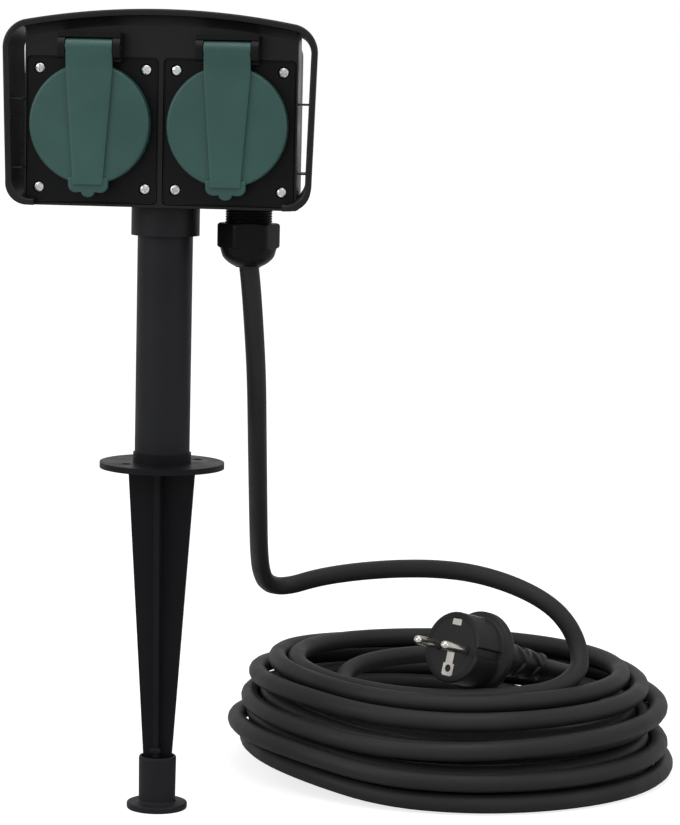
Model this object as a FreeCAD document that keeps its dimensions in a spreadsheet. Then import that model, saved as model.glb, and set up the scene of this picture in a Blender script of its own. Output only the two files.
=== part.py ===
import FreeCAD, Part
import math
import operator
import os
import Sketcher

V = FreeCAD.Vector
os.makedirs("parts", exist_ok=True)
doc = FreeCAD.newDocument("garden_socket_spike")
sheet = doc.addObject("Spreadsheet::Sheet", "sizes")

# Driving sizes in millimetres, degrees for the angles.
# The origin is the middle of the foot's underside, the front looks along -Y and Z is up.
SIZES = {
    # Housing front with its hood and side loops
    "rim_y": -30.0, "hood_depth": 27.0, "hood_wall": 2.9, "hood_draft": 6.0,
    "hood_top": 408.0, "heel_r": 12.0, "block_front": -22.5, "block_rear": -8.0,
    "panel_front": -18.0, "panel_rear": -15.0, "skirt": 2.3, "rib": 0.9, "rib_front": -28.0,
    # Housing rear
    "rear_front": -7.0, "rear_back": 28.0, "rear_draft": 4.4, "rear_wall": 2.5, "rear_heel": 5.0,
    "tongue_front": -11.2, "tongue_back": -5.0, "tongue_wall": 1.8, "tongue_gap": 0.3,
    "collar_r": 17.3, "sleeve_r": 16.5, "sleeve_cap": 2.0,
    "sleeve_flat": 14.6, "post_r": 3.5, "post_meet": -4.9,
    "post_low_x": 23.4,
    # Sockets and their flanges
    "flange_w": 65.7, "flange_h": 72.3, "flange_drop": 3.4, "flange_gap": 2.82, "block_edge": 1.09,
    "flange_r": 2.5, "flange_front": -22.0, "flange_rear": -19.0, "flange_fit": 0.24,
    "screw_side": 6.21, "screw_end": 6.64, "screw_drop": 2.54, "tab_bite": 2.15, "tab_rise": 0.2,
    "collar_front": -29.0, "ring_r": 24.0, "step_r": 27.0, "step_front": -23.0,
    "well_r": 19.4, "well_floor": -11.5, "barrel_r": 22.0, "barrel_rear": 12.0, "barrel_gap": 0.3,
    "pin_pitch": 19.0, "entry_r": 2.6, "contact_r": 3.6, "contact_bore": 2.45, "contact_front": -9.0,
    "contact_rear": 11.0, "fit": 0.05, "clip_in": 19.5, "clip_t": 0.8, "clip_w": 6.0, "clip_front": -27.0,
    # Hinge and lid
    "hinge_y": -32.0, "hinge_z": 37.75, "hinge_r": 4.0, "hinge_pin_r": 1.5, "hinge_play": 0.08,
    "ear_in": 11.95, "ear_out": 15.5, "tab_high": 44.75, "tab_front": -27.0,
    "tab_rear": -22.8, "ear_rise": 5.4, "ear_fall": 6.2, "bar_low": 42.4,
    "bar_front": -34.0, "spring_room": 2.95,
    "lobe_x": 10.0, "lobe_foot": -34.0, "nub_x": 3.4,
    "lid_r": 30.0, "lid_face": -32.3, "lid_rear": -24.0, "lid_wall": 2.0, "lid_edge": 0.9,
    "strap_face": -34.5, "strap_top_x": 11.65, "strap_bend": 24.75, "strap_foot_x": 7.5,
    "strap_foot": -29.85, "spring_half": 5.8, "spring_wire": 0.5, "spring_r": 2.25,
    # Pole, ground spike and tip cap
    "pole_r": 14.0, "pole_wall": 2.0, "disc_r": 31.75, "disc_top": 180.0, "disc_t": 3.0,
    "hub_r": 14.8, "hub_top": 185.0, "spigot_top": 205.0, "spigot_bore": 9.0, "peg_r": 2.5,
    "peg_x": 16.2, "peg_y": 13.5, "web_t": 2.8, "web_top_x": 17.2, "web_knee_x": 7.8, "web_knee_z": 35.0,
    "web_foot_x": 5.8, "tip_z": 5.0, "nub_r": 1.6, "nub_z": 31.3, "nub_half": 2.6,
    "foot_r": 15.54, "foot_t": 3.24, "cap_r": 9.6, "cap_wall": 1.4, "cap_rim": 26.0, "cap_root_r": 9.4,
    # Cable gland
    "gland_x": 42.3, "gland_r": 11.9, "gland_bore": 6.0,
    "seat_r": 15.6, "nut_af": 28.0, "nut_turn": 10.0, "shoulder_low": 6.6,
    "dome_r": 6.8, "dome_via_r": 12.2, "seal_r": 7.4,
    "seal_low_r": 6.4, "locknut_af": 26.0, "locknut_t": 4.0,
    # Cord, coil and plug
    "cord_r": 5.0, "grip": 0.1, "coil_x": 145.0, "coil_y": 128.0, "coil_start": -46.0,
    "plug_x": 147.6, "plug_y": 55.0, "plug_z": 79.3, "plug_turn": 51.0, "plug_dip": 15.5,
    "plug_face_r": 19.0, "plug_front": 20.0, "plug_collar_r": 22.3, "plug_end": 76.0, "plug_end_r": 7.0,
    "clip_lift": 0.1, "clip_short": 12.0, "clip_edge": 15.2, "clip_dive": 2.2, "clip_long": 2.6,
    "clip_rear": 18.0, "clip_face_x": 2.5, "clip_head_x": 3.7, "clip_head_y": 8.6, "clip_head_end": 14.6,
    "clip_hole_y": 11.3, "clip_hole_r": 2.0, "pin_root": 0.4, "pin_shank_r": 2.2, "pin_taper": 2.2,
    "bridge_r": 15.5, "bridge_t": 16.0, "plug_pin_r": 2.4, "plug_pin_out": 19.0, "plug_pin_in": 14.0,
    "wire_r": 1.2, "wire_lift": 26.0, "wire_reach": 24.0, "wire_low": 10.0,
}

# Half widths of the housing, each as its reach beyond the side of the panel block
REACHES = {
    "shoulder_x": -0.5, "corner_x": 7.4, "loop_x": 10.0, "heel_x": 8.1, "rib_low_x": 5.4, "rib_high_x": 6.7,
    "loop_front_cut": -6.2, "rear_x": -0.2, "rear_arch_x": -6.7, "rear_knee_x": -2.0, "post_high_x": -8.4,
}

# Heights of the housing and the gland, each as its drop below the hood's top
DROPS = {
    "shoulder_z": 6.3, "corner_z": 11.8, "loop_z": 20.0, "heel_z": 85.6, "hood_foot": 97.6,
    "block_foot": 97.8, "block_side_top": 9.5, "block_top": 3.2, "rib_low": 79.2, "rib_high": 45.2,
    "rear_foot": 97.1, "rear_top": 6.4, "rear_side_top": 21.5, "rear_arch_z": 12.0, "rear_knee_z": 15.8,
    "collar_foot": 112.5, "sleeve_top": 86.0, "post_high_z": 18.8, "post_low_z": 89.4, "lid_z": 56.75,
    "gland_top": 89.8, "gland_foot": 115.4, "nut_top": 105.3, "nut_foot": 118.0, "dome_foot": 127.1,
    "dome_via_z": 124.0, "seal_foot": 127.5, "seal_step": 122.0,
}


class Size:
    """A number in millimetres together with the sheet formula that gives it."""

    def __init__(self, value, text):
        self.value = float(value)
        self.text = text

    def __add__(self, other):
        return combine(self, other, operator.add, "+")

    def __radd__(self, other):
        return combine(other, self, operator.add, "+")

    def __sub__(self, other):
        return combine(self, other, operator.sub, "-")

    def __rsub__(self, other):
        return combine(other, self, operator.sub, "-")

    def __mul__(self, other):
        return combine(self, other, operator.mul, "*")

    def __rmul__(self, other):
        return combine(other, self, operator.mul, "*")

    def __truediv__(self, other):
        return combine(self, other, operator.truediv, "/")

    def __neg__(self):
        return combine(-1.0, self, operator.mul, "*")


def size(value):
    """Any number as a Size."""
    return value if isinstance(value, Size) else Size(value, repr(float(value)))


def combine(first, second, action, sign):
    """The Size that joins two others by one sign."""
    first, second = size(first), size(second)
    return Size(action(first.value, second.value), "(%s %s %s)" % (first.text, sign, second.text))


class Sheet:
    """The sheet's sizes by name."""


s = Sheet()
rows = []


def enter(name, value, content):
    """A row of the sheet, kept as a size of the same name."""
    rows.append(name)
    sheet.set("A%d" % len(rows), name)
    sheet.set("B%d" % len(rows), content)
    sheet.setAlias("B%d" % len(rows), name)
    setattr(s, name, Size(value, "sizes." + name))


def follow(name, formula):
    """A row whose size follows from others."""
    enter(name, formula.value, "=" + formula.text.replace("sizes.", ""))


for name, value in SIZES.items():
    enter(name, value, repr(value))
follow("pitch", s.flange_w + s.flange_gap)
follow("block_x", (s.pitch + s.flange_w) / 2 + s.block_edge)
follow("screw_dx", s.flange_w / 2 - s.screw_side)
follow("screw_dz", s.flange_h / 2 - s.screw_end)
follow("tab_low", s.flange_h / 2 - s.flange_drop - s.tab_bite)
follow("tab_step", s.flange_h / 2 - s.flange_drop + s.tab_rise)
for name, reach in REACHES.items():
    enter(name + "_reach", reach, repr(reach))
    follow(name, s.block_x + getattr(s, name + "_reach"))
for name, drop in DROPS.items():
    enter(name + "_drop", drop, repr(drop))
    follow(name, s.hood_top - getattr(s, name + "_drop"))
doc.recompute()

NORMAL_SIGN = {"XY_Plane": 1.0, "XZ_Plane": -1.0, "YZ_Plane": 1.0}
HALF_DIAGONAL = math.sqrt(0.5)
subparts = []


def new_body(name, keep=True):
    """A part body under its own name, listed as a subpart when it is kept."""
    body = doc.addObject("PartDesign::Body", name)
    body.Label = name
    if keep:
        subparts.append(body)
    return body


def origin_feature(body, role):
    """The body's own origin plane or axis."""
    return next(feature for feature in body.Origin.OriginFeatures if feature.Role == role)


def sketch_at(body, role, at):
    """A sketch on an origin plane moved to a height along the plane's world axis."""
    sketch = body.newObject("Sketcher::SketchObject", body.Name + "_sketch")
    sketch.AttachmentSupport = [(origin_feature(body, role), "")]
    sketch.MapMode = "FlatFace"
    offset = size(at) * NORMAL_SIGN[role]
    sketch.AttachmentOffset = FreeCAD.Placement(V(0, 0, offset.value), FreeCAD.Rotation())
    sketch.setExpression("AttachmentOffset.Base.z", offset.text)
    return sketch


def hold(sketch, index, end, x, y):
    """Ties one point of the sketch to its two sizes."""
    for kind, amount in (("DistanceX", size(x)), ("DistanceY", size(y))):
        number = sketch.addConstraint(Sketcher.Constraint(kind, index, end, amount.value))
        sketch.setExpression("Constraints[%d]" % number, amount.text)


def end_of(sketch, index, point):
    """1 when the edge starts at the point and 2 when it ends there."""
    edge = sketch.Geometry[index]
    near_start = edge.StartPoint.distanceToPoint(point) < edge.EndPoint.distanceToPoint(point)
    return 1 if near_start else 2


def draw_loop(sketch, corners):
    """A closed outline: (x, y) starts a line, (x, y, via_x, via_y) starts an arc."""
    points = [V(size(c[0]).value, size(c[1]).value, 0) for c in corners]
    edges = []
    for number, corner in enumerate(corners):
        start, end = points[number], points[(number + 1) % len(points)]
        if len(corner) == 4:
            via = V(size(corner[2]).value, size(corner[3]).value, 0)
            edges.append(sketch.addGeometry(Part.Arc(start, via, end)))
        else:
            edges.append(sketch.addGeometry(Part.LineSegment(start, end)))
    for number, edge in enumerate(edges):
        following = edges[(number + 1) % len(edges)]
        meeting = points[(number + 1) % len(points)]
        sketch.addConstraint(Sketcher.Constraint(
            "Coincident", edge, end_of(sketch, edge, meeting),
            following, end_of(sketch, following, meeting)))
    for number, corner in enumerate(corners):
        hold(sketch, edges[number], end_of(sketch, edges[number], points[number]), corner[0], corner[1])
        if len(corner) == 4:
            via = V(size(corner[2]).value, size(corner[3]).value, 0)
            mark = sketch.addGeometry(Part.Point(via), True)
            hold(sketch, mark, 1, corner[2], corner[3])
            sketch.addConstraint(Sketcher.Constraint("PointOnObject", mark, 1, edges[number]))


def draw_circle(sketch, x, y, radius):
    """A circle tied to its middle and radius."""
    middle = V(size(x).value, size(y).value, 0)
    index = sketch.addGeometry(Part.Circle(middle, V(0, 0, 1), size(radius).value))
    hold(sketch, index, 3, x, y)
    number = sketch.addConstraint(Sketcher.Constraint("Radius", index, size(radius).value))
    sketch.setExpression("Constraints[%d]" % number, size(radius).text)


def box(low_x, low_y, high_x, high_y):
    """Corners of an upright rectangle."""
    return [(low_x, low_y), (high_x, low_y), (high_x, high_y), (low_x, high_y)]


def rounded(x, y, width, height, radius):
    """Corners of a rectangle about (x, y) with rounded corners."""
    right, left, top, low = x + width / 2, x - width / 2, y + height / 2, y - height / 2
    cut = radius * (1 - HALF_DIAGONAL)
    return [(left + radius, low), (right - radius, low, right - cut, low + cut),
            (right, low + radius), (right, top - radius, right - cut, top - cut),
            (right - radius, top), (left + radius, top, left + cut, top - cut),
            (left, top - radius), (left, low + radius, left + cut, low + cut)]


def hexagon(x, y, across_flats, turn):
    """Corners of a hexagon about (x, y), its first corner at an angle in degrees."""
    reach = across_flats / (2 * math.cos(math.radians(30)))
    corners = []
    for step in range(6):
        angle = math.radians(turn + 60 * step)
        corners.append((x + reach * math.cos(angle), y + reach * math.sin(angle)))
    return corners


def shape_slab(body, role, shapes, start, end, cut, draft=None):
    """Adds or cuts a slab from start to end along the plane's world axis."""
    sketch = sketch_at(body, role, start)
    for corners in shapes:
        if isinstance(corners, tuple):
            draw_circle(sketch, *corners)
        else:
            draw_loop(sketch, corners)
    kind = "PartDesign::Pocket" if cut else "PartDesign::Pad"
    feature = body.newObject(kind, body.Name + ("_cut" if cut else "_pad"))
    feature.Profile = sketch
    depth = size(end) - start
    feature.Length = depth.value
    feature.setExpression("Length", depth.text)
    along_normal = NORMAL_SIGN[role] > 0
    feature.Reversed = along_normal if cut else not along_normal
    if draft is not None:
        feature.TaperAngle = -draft.value
        feature.setExpression("TaperAngle", (-draft).text)
    sketch.Visibility = False
    return feature


def add_slab(body, role, shapes, start, end, draft=None):
    return shape_slab(body, role, shapes, start, end, False, draft)


def cut_slab(body, role, shapes, start, end, draft=None):
    return shape_slab(body, role, shapes, start, end, True, draft)


def turned(body, corners, cut=False):
    """A half outline (radius, height) turned about the body's Z axis."""
    sketch = sketch_at(body, "XZ_Plane", 0)
    draw_loop(sketch, corners)
    kind = "PartDesign::Groove" if cut else "PartDesign::Revolution"
    feature = body.newObject(kind, body.Name + "_turned")
    feature.Profile = sketch
    feature.ReferenceAxis = (origin_feature(body, "Z_Axis"), [""])
    feature.Angle = 360
    sketch.Visibility = False
    return feature


def place(item, x, y, z, turn=None):
    """Puts a finished body at its place in the product."""
    rotation = turn if turn is not None else FreeCAD.Rotation()
    item.Placement = FreeCAD.Placement(V(size(x).value, size(y).value, size(z).value), rotation)
    for axis, amount in (("x", x), ("y", y), ("z", z)):
        item.setExpression("Placement.Base." + axis, size(amount).text)


def repeat(name, master, spots, turn=None):
    """One subpart made of links to a master body, a link at each spot."""
    links = []
    for number, spot in enumerate(spots):
        link = doc.addObject("App::Link", "%s_%d" % (name, number))
        link.LinkedObject = master
        place(link, spot[0], spot[1], spot[2], turn)
        links.append(link)
    group = doc.addObject("Part::Compound", name)
    group.Label = name
    group.Links = links
    subparts.append(group)
    return group


def shaped(name, shape):
    """A subpart whose form follows a path worked out from the sheet."""
    feature = doc.addObject("Part::Feature", name)
    feature.Label = name
    feature.Shape = shape
    subparts.append(feature)
    return feature


# Cord paths
def tube_path(points, share=0.45):
    """Straight runs joined by tangent arcs, with the radius of each arc."""
    edges, radii = [], []
    here = points[0]
    for before, corner, after in zip(points, points[1:], points[2:]):
        run_in, run_out = corner - before, after - corner
        way_in, way_out = V(run_in).normalize(), V(run_out).normalize()
        turn = math.acos(max(-1.0, min(1.0, way_in.dot(way_out))))
        reach = share * min(run_in.Length, run_out.Length)
        radius = reach / math.tan(turn / 2)
        arc_start, arc_end = corner - way_in * reach, corner + way_out * reach
        inward = (way_out - way_in).normalize()
        middle = corner + inward * (radius / math.cos(turn / 2) - radius)
        edges.append(Part.LineSegment(here, arc_start).toShape())
        edges.append(Part.Arc(arc_start, middle, arc_end).toShape())
        radii.append(radius)
        here = arc_end
    edges.append(Part.LineSegment(here, points[-1]).toShape())
    return Part.Wire(edges), radii


def tube(name, path, radius):
    """A round tube swept along a path, with its volume held against section times length."""
    start = path.Edges[0]
    heading = start.tangentAt(start.FirstParameter)
    ring = Part.Wire(Part.makeCircle(radius, start.valueAt(start.FirstParameter), heading))
    solid = path.makePipeShell([ring], True, False)
    expected = math.pi * radius ** 2 * path.Length
    print(name, "length", round(path.Length), "volume share", round(solid.Volume / expected, 4))
    return solid


def half_arc(start, heading, end):
    """The arc that leaves a point along a heading and ends at another point."""
    chord = end - start
    angle = chord.getAngle(heading)
    sideways = heading * chord.Length ** 2 - chord * chord.dot(heading)
    if sideways.Length < 1e-6 * chord.Length ** 2:
        return Part.LineSegment(start, end).toShape()
    middle = start + chord / 2 + sideways.normalize() * (chord.Length / 2 * math.tan(angle / 2))
    return Part.Arc(start, middle, end).toShape()


def biarc(start, way_in, end, way_out):
    """Two arcs that join smoothly between two points with given headings."""
    gap = end - start
    both = way_in + way_out
    square = 2 * (way_in.dot(way_out) - 1)
    slope = -2 * gap.dot(both)
    plain = gap.dot(gap)
    if abs(square) < 1e-9:
        reach = -plain / slope
    else:
        root = math.sqrt(slope ** 2 - 4 * square * plain)
        reach = min(value for value in ((-slope + root) / (2 * square), (-slope - root) / (2 * square))
                    if value > 0)
    meeting = (start + way_in * reach + end - way_out * reach) / 2
    first = half_arc(start, way_in, meeting)
    joint_way = ((end - way_out * reach) - (start + way_in * reach)).normalize()
    return [first, half_arc(meeting, joint_way, end)]


# Housing front: hood, side loops, panel and skirt
front = new_body("front_frame")
heel_cut = s.heel_r * (1 - HALF_DIAGONAL)
heel_in = s.heel_x - s.heel_r


def hood_outline(inset):
    """The rim outline, moved inwards by an inset."""
    knee_x, knee_z = s.corner_x - inset * 0.75, s.corner_z - inset * 0.7
    cut_x, cut_z = s.heel_x - inset - heel_cut * 0.9, s.hood_foot + inset + heel_cut * 0.9
    return [(-heel_in, s.hood_foot + inset), (heel_in, s.hood_foot + inset, cut_x, cut_z),
            (s.heel_x - inset, s.heel_z), (s.loop_x - inset, s.loop_z, knee_x, knee_z),
            (s.shoulder_x - inset * 0.2, s.shoulder_z - inset, 0, s.hood_top - inset),
            (-(s.shoulder_x - inset * 0.2), s.shoulder_z - inset, -knee_x, knee_z),
            (-(s.loop_x - inset), s.loop_z), (-(s.heel_x - inset), s.heel_z, -cut_x, cut_z)]


hood_rear = s.rim_y + s.hood_depth
add_slab(front, "XZ_Plane", [hood_outline(0)], s.rim_y, hood_rear, s.hood_draft)
cut_slab(front, "XZ_Plane", [hood_outline(s.hood_wall)], s.rim_y, hood_rear, s.hood_draft)
cut_slab(front, "XZ_Plane", [box(-s.loop_front_cut, s.hood_foot - 3, s.loop_front_cut, s.hood_foot + 4)],
         s.rim_y - 1, s.block_front)
cut_slab(front, "XZ_Plane", [box(-s.block_x - 0.8, s.hood_foot - 3, s.block_x + 0.8, s.hood_foot + 9)],
         s.block_rear, hood_rear + 1)


def block_outline(inset):
    """The panel block seen from the front, moved inwards by an inset."""
    side, top = s.block_x - inset, s.block_side_top - inset
    return [(-side, s.block_foot + inset), (side, s.block_foot + inset),
            (side, top, 0, s.block_top - inset), (-side, top)]


add_slab(front, "XZ_Plane", [block_outline(0)], s.block_front, s.block_rear)
for side in (-1, 1):
    for height, reach in ((s.rib_low, s.rib_low_x), (s.rib_high, s.rib_high_x)):
        near, far = side * (s.block_x - 0.1), side * reach
        low, high = (near, far) if side > 0 else (far, near)
        add_slab(front, "XZ_Plane", [box(low, height - s.rib / 2, high, height + s.rib / 2)],
                 s.rib_front, s.block_rear)
cut_slab(front, "XZ_Plane", [block_outline(s.skirt)], s.panel_rear, s.block_rear)
for side in (-1, 1):
    middle = s.pitch / 2 * side
    cut_slab(front, "XZ_Plane",
             [rounded(middle, s.lid_z - s.flange_drop, s.flange_w + 2 * s.flange_fit,
                      s.flange_h + 2 * s.flange_fit, s.flange_r)],
             s.block_front - 1, s.panel_front)
holes = []
for side in (-1, 1):
    middle = s.pitch / 2 * side
    holes.append((middle, s.lid_z, s.barrel_r + s.barrel_gap))
    for across in (-1, 1):
        for up in (-1, 1):
            holes.append((middle + s.screw_dx * across, s.lid_z - s.screw_drop + s.screw_dz * up,
                          1.5 + s.fit))
posts = [(s.post_high_x, s.post_high_z), (-s.post_high_x, s.post_high_z),
         (s.post_low_x, s.post_low_z), (-s.post_low_x, s.post_low_z)]
cut_slab(front, "XZ_Plane", holes, s.panel_front - 1, s.panel_rear + 1)
add_slab(front, "XZ_Plane", [(x, z, s.post_r) for x, z in posts], s.panel_rear - 1, s.post_meet - 0.1)
cut_slab(front, "XZ_Plane", [(x, z, 1.5 + s.fit) for x, z in posts], s.panel_rear, s.post_meet + 1)
cut_slab(front, "XY_Plane", [(0, 0, s.collar_r + 0.3)], s.block_foot - 1, s.block_foot + s.skirt + 0.4)
cut_slab(front, "XY_Plane", [(s.gland_x, 0, s.seat_r + 0.3)], s.block_foot - 1,
         s.rear_foot + s.rear_wall + 0.3)

# Housing rear with the pole collar and the gland seat
rear = new_body("rear_housing")


def rear_outline(inset):
    """The rear shell seen from the front, moved inwards by an inset."""
    foot, side = s.rear_foot + inset, s.rear_x - inset
    arch_x, arch_z = s.rear_arch_x - inset * 0.3, s.rear_arch_z - inset
    knee_x, knee_z = s.rear_knee_x - inset * 0.85, s.rear_knee_z - inset * 0.6
    heel = s.rear_heel
    cut = heel * (1 - HALF_DIAGONAL)
    return [(-(side - heel), foot), (side - heel, foot, side - cut, foot + cut),
            (side, foot + heel), (side, s.rear_side_top, knee_x, knee_z),
            (arch_x, arch_z, 0, s.rear_top - inset), (-arch_x, arch_z, -knee_x, knee_z),
            (-side, s.rear_side_top), (-side, foot + heel, -(side - cut), foot + cut)]


tongue = s.skirt + s.tongue_gap
open_low, open_high = -(s.collar_r + 0.7), s.gland_x + s.seat_r + 0.6
add_slab(rear, "XZ_Plane", [rear_outline(0)], s.rear_front, s.rear_back, s.rear_draft)
cut_slab(rear, "XZ_Plane", [rear_outline(s.rear_wall)], s.rear_front, s.rear_back - s.rear_wall,
         s.rear_draft)
add_slab(rear, "XZ_Plane", [block_outline(tongue), block_outline(tongue + s.tongue_wall)],
         s.tongue_front, s.tongue_back)
cut_slab(rear, "XZ_Plane", [box(open_low, s.block_foot + 1, open_high, s.block_foot + 6)],
         s.tongue_front - 1, s.rear_front)
cut_slab(rear, "XZ_Plane", [box(open_low, s.rear_foot + s.rear_wall, open_high, s.block_foot + 6)],
         s.rear_front - 1, s.tongue_back + 0.1)
add_slab(rear, "XZ_Plane", [(x, z, s.post_r) for x, z in posts], s.post_meet, s.rear_back - 1)
add_slab(rear, "XY_Plane", [(0, 0, s.collar_r)], s.collar_foot, s.rear_foot + 0.5)
add_slab(rear, "XY_Plane", [(0, 0, s.sleeve_r)], s.rear_foot, s.sleeve_top + s.sleeve_cap)
add_slab(rear, "XY_Plane", [(s.gland_x, 0, s.seat_r)], s.rear_foot, s.rear_foot + s.rear_wall)
cut_slab(rear, "XY_Plane", [(s.gland_x, 0, s.seat_r - 0.3)], s.rear_foot + s.rear_wall,
         s.rear_foot + s.rear_wall + 3)
cut_slab(rear, "XY_Plane", [box(-20, -20, 20, -s.sleeve_flat)], s.rear_foot + 0.5,
         s.sleeve_top + s.sleeve_cap + 1)
cut_slab(rear, "XY_Plane", [(0, 0, s.pole_r + s.fit)], s.collar_foot - 1, s.sleeve_top)
cut_slab(rear, "XY_Plane", [(s.gland_x, 0, s.gland_r + s.fit)], s.rear_foot - 2, s.rear_foot + 4)
cut_slab(rear, "XZ_Plane", [(x, z, 1.5 + s.fit) for x, z in posts], s.post_meet - 1, s.rear_back + 1)
cut_slab(rear, "XZ_Plane", [(x, z, 2.9) for x, z in posts], s.rear_back - 6, s.rear_back + 1)
pole_screw_z = (s.collar_foot + s.rear_foot) / 2
cut_slab(rear, "XZ_Plane", [(0, pole_screw_z, 2 + s.fit)], 0, s.collar_r + 1)
cut_slab(rear, "XZ_Plane", [(0, pole_screw_z, 3.4)], s.collar_r - 0.7, s.collar_r + 1)

# Seal between the two housing halves
seal = new_body("housing_seal")
add_slab(seal, "XZ_Plane", [block_outline(0.6), block_outline(tongue - 0.2)], s.block_rear, s.rear_front)
cut_slab(seal, "XZ_Plane", [box(open_low, s.block_foot - 1, open_high, s.block_foot + 6)],
         s.block_rear - 1, s.rear_front + 1)
cut_slab(seal, "XZ_Plane", [box(-s.block_x, s.rear_top - 7, s.block_x, s.block_top + 1)],
         s.block_rear - 1, s.rear_front + 1)

# Screws with crossed heads
TO_FRONT = FreeCAD.Rotation(V(1, 0, 0), 90)
TO_BACK = FreeCAD.Rotation(V(1, 0, 0), -90)


def screw_master(name, shank_r, length, head_r, head_t):
    """A screw along Z, its head's underside at zero and its tip below."""
    screw = new_body(name, keep=False)
    tip = length - shank_r
    turned(screw, [(0, -length), (shank_r * 0.3, -length), (shank_r, -tip), (shank_r, 0), (head_r, 0),
                   (head_r, head_t * 0.4), (head_r * 0.75, head_t), (0, head_t)])
    arm, half = head_r * 0.6, head_r * 0.14
    cut_slab(screw, "XY_Plane", [box(-arm, -half, arm, half)], head_t * 0.35, head_t + 1)
    cut_slab(screw, "XY_Plane", [box(-half, -arm, half, arm)], head_t * 0.35, head_t + 1)
    return screw


long_screw = screw_master("housing_screw", size(1.5), s.rear_back - 6 - s.panel_rear - 1.5, size(2.7), size(1.8))
repeat("housing_screws", long_screw, [(x, s.rear_back - 6, z) for x, z in posts], TO_BACK)
short_screw = screw_master("flange_screw", size(1.5), size(4.9), size(2.4), size(1.5))
clamp_screw = screw_master("terminal_screw", size(1.2), size(3.0), size(2.4), size(1.3))
grub_screw = screw_master("collar_screw", size(2.0), size(4.2), size(3.2), size(1.6))
repeat("pole_screw", grub_screw, [(0, s.collar_r - 0.7, pole_screw_z)], TO_BACK)

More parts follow.
